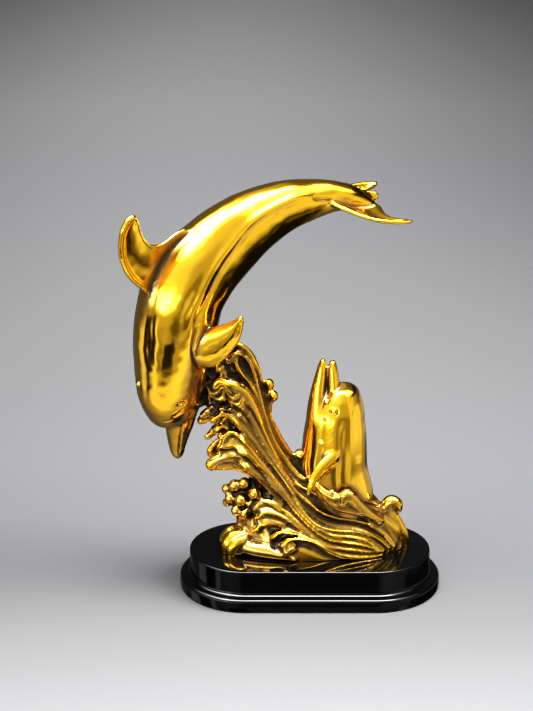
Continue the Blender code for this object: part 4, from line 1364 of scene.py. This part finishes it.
# It also fades to both sides, as the lamps are aimed at the middle
shifted = add_node(tree, "ShaderNodeMath", {"operation": "ADD"}, _0=axes[0], _1=0.15).outputs[0]
square = add_node(tree, "ShaderNodeMath", {"operation": "MULTIPLY"}, _0=shifted, _1=shifted).outputs[0]
spread = add_node(tree, "ShaderNodeMath", {"operation": "MULTIPLY_ADD"}, _0=square, _1=1.3, _2=1.0).outputs[0]
aside = add_node(tree, "ShaderNodeMath", {"operation": "DIVIDE"}, _0=1.0, _1=spread).outputs[0]
aside = add_node(tree, "ShaderNodeMath", {"operation": "MAXIMUM"}, _0=aside, _1=0.4).outputs[0]
shade = add_node(
    tree, "ShaderNodeMix", {"data_type": "RGBA", "blend_type": "MULTIPLY"},
    _0=1.0, _6=ramp.outputs[0], _7=aside,
).outputs[2]
tree.links.new(shade, shader.inputs["Base Color"])
shader.inputs["Roughness"].default_value = 0.9
shader.inputs["Specular IOR Level"].default_value = 0.0
floor.data.materials.append(paper)
print("material:", paper.name)

# %% [markdown]
# The room has a broad soft light overhead, a tall panel at the left, pale walls
# in front and dim ones behind. Each panel is a patch of sky with soft edges,
# given by the way it lies from the object: azimuth 0 is towards the camera and
# 90 towards the object's right, and elevation is above the horizon.

# %% Room
world = bpy.data.worlds.new("studio_room")
bpy.context.scene.world = world
world.use_nodes = True
tree = world.node_tree
background = tree.nodes["Background"]
way = add_node(tree, "ShaderNodeTexCoord").outputs["Generated"]


def towards(azimuth, elevation):
    """The unit vector of a direction from the object."""
    a, e = math.radians(azimuth), math.radians(elevation)
    return (math.sin(a) * math.cos(e), -math.cos(a) * math.cos(e), math.sin(e))


def along(direction):
    """How much of the way that a ray looks goes in a direction, from -1 to 1."""
    product = add_node(tree, "ShaderNodeVectorMath", {"operation": "DOT_PRODUCT"}, _0=way, _1=direction)
    return product.outputs["Value"]


def panel(azimuth, elevation, half_width, half_height, softness):
    """How much of a soft-edged panel lies in a direction, from 0 to 1. Sizes are in degrees."""
    ahead, right = towards(azimuth, elevation), towards(azimuth + 90, 0)
    above = tuple(np.cross(right, ahead) * -1.0)
    facing_it = along(ahead)
    edges = []
    for side, half in ((right, half_width), (above, half_height)):
        angle = add_node(tree, "ShaderNodeMath", {"operation": "ARCTAN2"}, _0=along(side), _1=facing_it)
        size = add_node(tree, "ShaderNodeMath", {"operation": "ABSOLUTE"}, _0=angle.outputs[0])
        inner, outer = math.radians(half - softness), math.radians(half + softness)
        edge = add_node(
            tree, "ShaderNodeMapRange", {"interpolation_type": "SMOOTHSTEP"}, Value=size.outputs[0],
            From_Min=inner, From_Max=outer, To_Min=1.0, To_Max=0.0,
        )
        edges.append(edge.outputs[0])
    return add_node(tree, "ShaderNodeMath", {"operation": "MULTIPLY"}, _0=edges[0], _1=edges[1]).outputs[0]


# %% [markdown]
# The list starts with the lights overhead and high at the left, which give the
# brightest highlights. Then come the panels at eye level, then what the metal
# mirrors from below, and last a lamp for the back. A brightness below 0 is a
# black card, which takes light away and draws the dark bands that make metal
# look like metal.

# %% Panels
# Azimuth, elevation, half width, half height and softness in degrees, and brightness
PANELS = [
    (0, 84, 30, 16, 7, 13.0),
    (0, 87, 20, 8, 4, 60.0),
    (-80, 61, 28, 13, 8, 12.0),
    (-84, 62, 14, 8, 5, 14.0),
    (5, 45, 55, 16, 10, 0.3),
    (-42, 4, 13, 2.5, 2, 11.0),
    (-50, 28, 42, 28, 12, 0.5),
    (-55, 8, 24, 4, 3, 6.0),
    (-24, 0, 14, 3.5, 3, 4.0),
    (45, 57, 5, 12, 5, 4.0),
    (75, 50, 18, 7, 5, 4.0),
    (57, 8, 15, 23, 6, 0.4),
    (22, -5, 16, 6, 4, -0.3),
    (105, 33, 48, 8, 6, -0.6),
    (88, -10, 16, 8, 4, 0.45),
    (125, -14, 35, 8, 6, 0.35),
    (108, -38, 36, 12, 6, -0.6),
    (25, -50, 48, 9, 6, 0.25),
    (-12, -62, 50, 8, 3, 0.5),
    (-17, -41, 11, 8, 2, -1.7),
    (-8, -48, 42, 5.5, 2.5, -0.15),
    (-8, -43, 42, 10.5, 2.5, -0.12),
    (-8, -38, 42, 15.5, 2.5, -0.1),
    (25, -25, 14, 10, 5, 0.3),
    (2, -21, 14, 8, 4, -0.38),
    (-78, -24, 10, 17, 3, -1.0),
    (-59, -28, 4, 16, 2.5, 0.8),
    (-97, -24, 12, 13, 5, 0.6),
    (-155, 62, 20, 12, 8, 0.4),
]
BACK_WALL, FRONT_WALL, DARKEST = 0.13, 0.58, 0.012
light = add_node(
    tree, "ShaderNodeMapRange", {"interpolation_type": "SMOOTHSTEP"}, Value=along((0.0, -1.0, 0.0)),
    From_Min=-0.5, From_Max=0.35, To_Min=BACK_WALL, To_Max=FRONT_WALL,
).outputs[0]
for *place_and_size, brightness in PANELS:
    patch = panel(*place_and_size)
    light = add_node(
        tree, "ShaderNodeMath", {"operation": "MULTIPLY_ADD"}, _0=patch, _1=brightness, _2=light
    ).outputs[0]
light = add_node(tree, "ShaderNodeMath", {"operation": "MAXIMUM"}, _0=light, _1=DARKEST).outputs[0]
tree.links.new(light, background.inputs["Strength"])
background.inputs["Color"].default_value = (1.0, 1.0, 1.0, 1.0)
print(len(PANELS), "panels")

# %% [markdown]
# The panels light the floor from all sides. One real lamp, high at the right,
# throws the soft shadow to the left of the plinth. The metal doesn't mirror it.

# %% Lamp for the soft shadow
lamp = bpy.data.objects.new("shadow_lamp", bpy.data.lights.new("shadow_lamp", "AREA"))
lamp.data.shape = "DISK"
lamp.data.size = 0.9
lamp.data.energy = 150
lamp.location = (0.95, -0.1, 1.05)
lamp.rotation_euler = (Vector((0, 0, 0.05)) - lamp.location).to_track_quat("-Z", "Y").to_euler()
lamp.visible_glossy = False
bpy.context.scene.collection.objects.link(lamp)
print("lamp of", lamp.data.energy, "W")
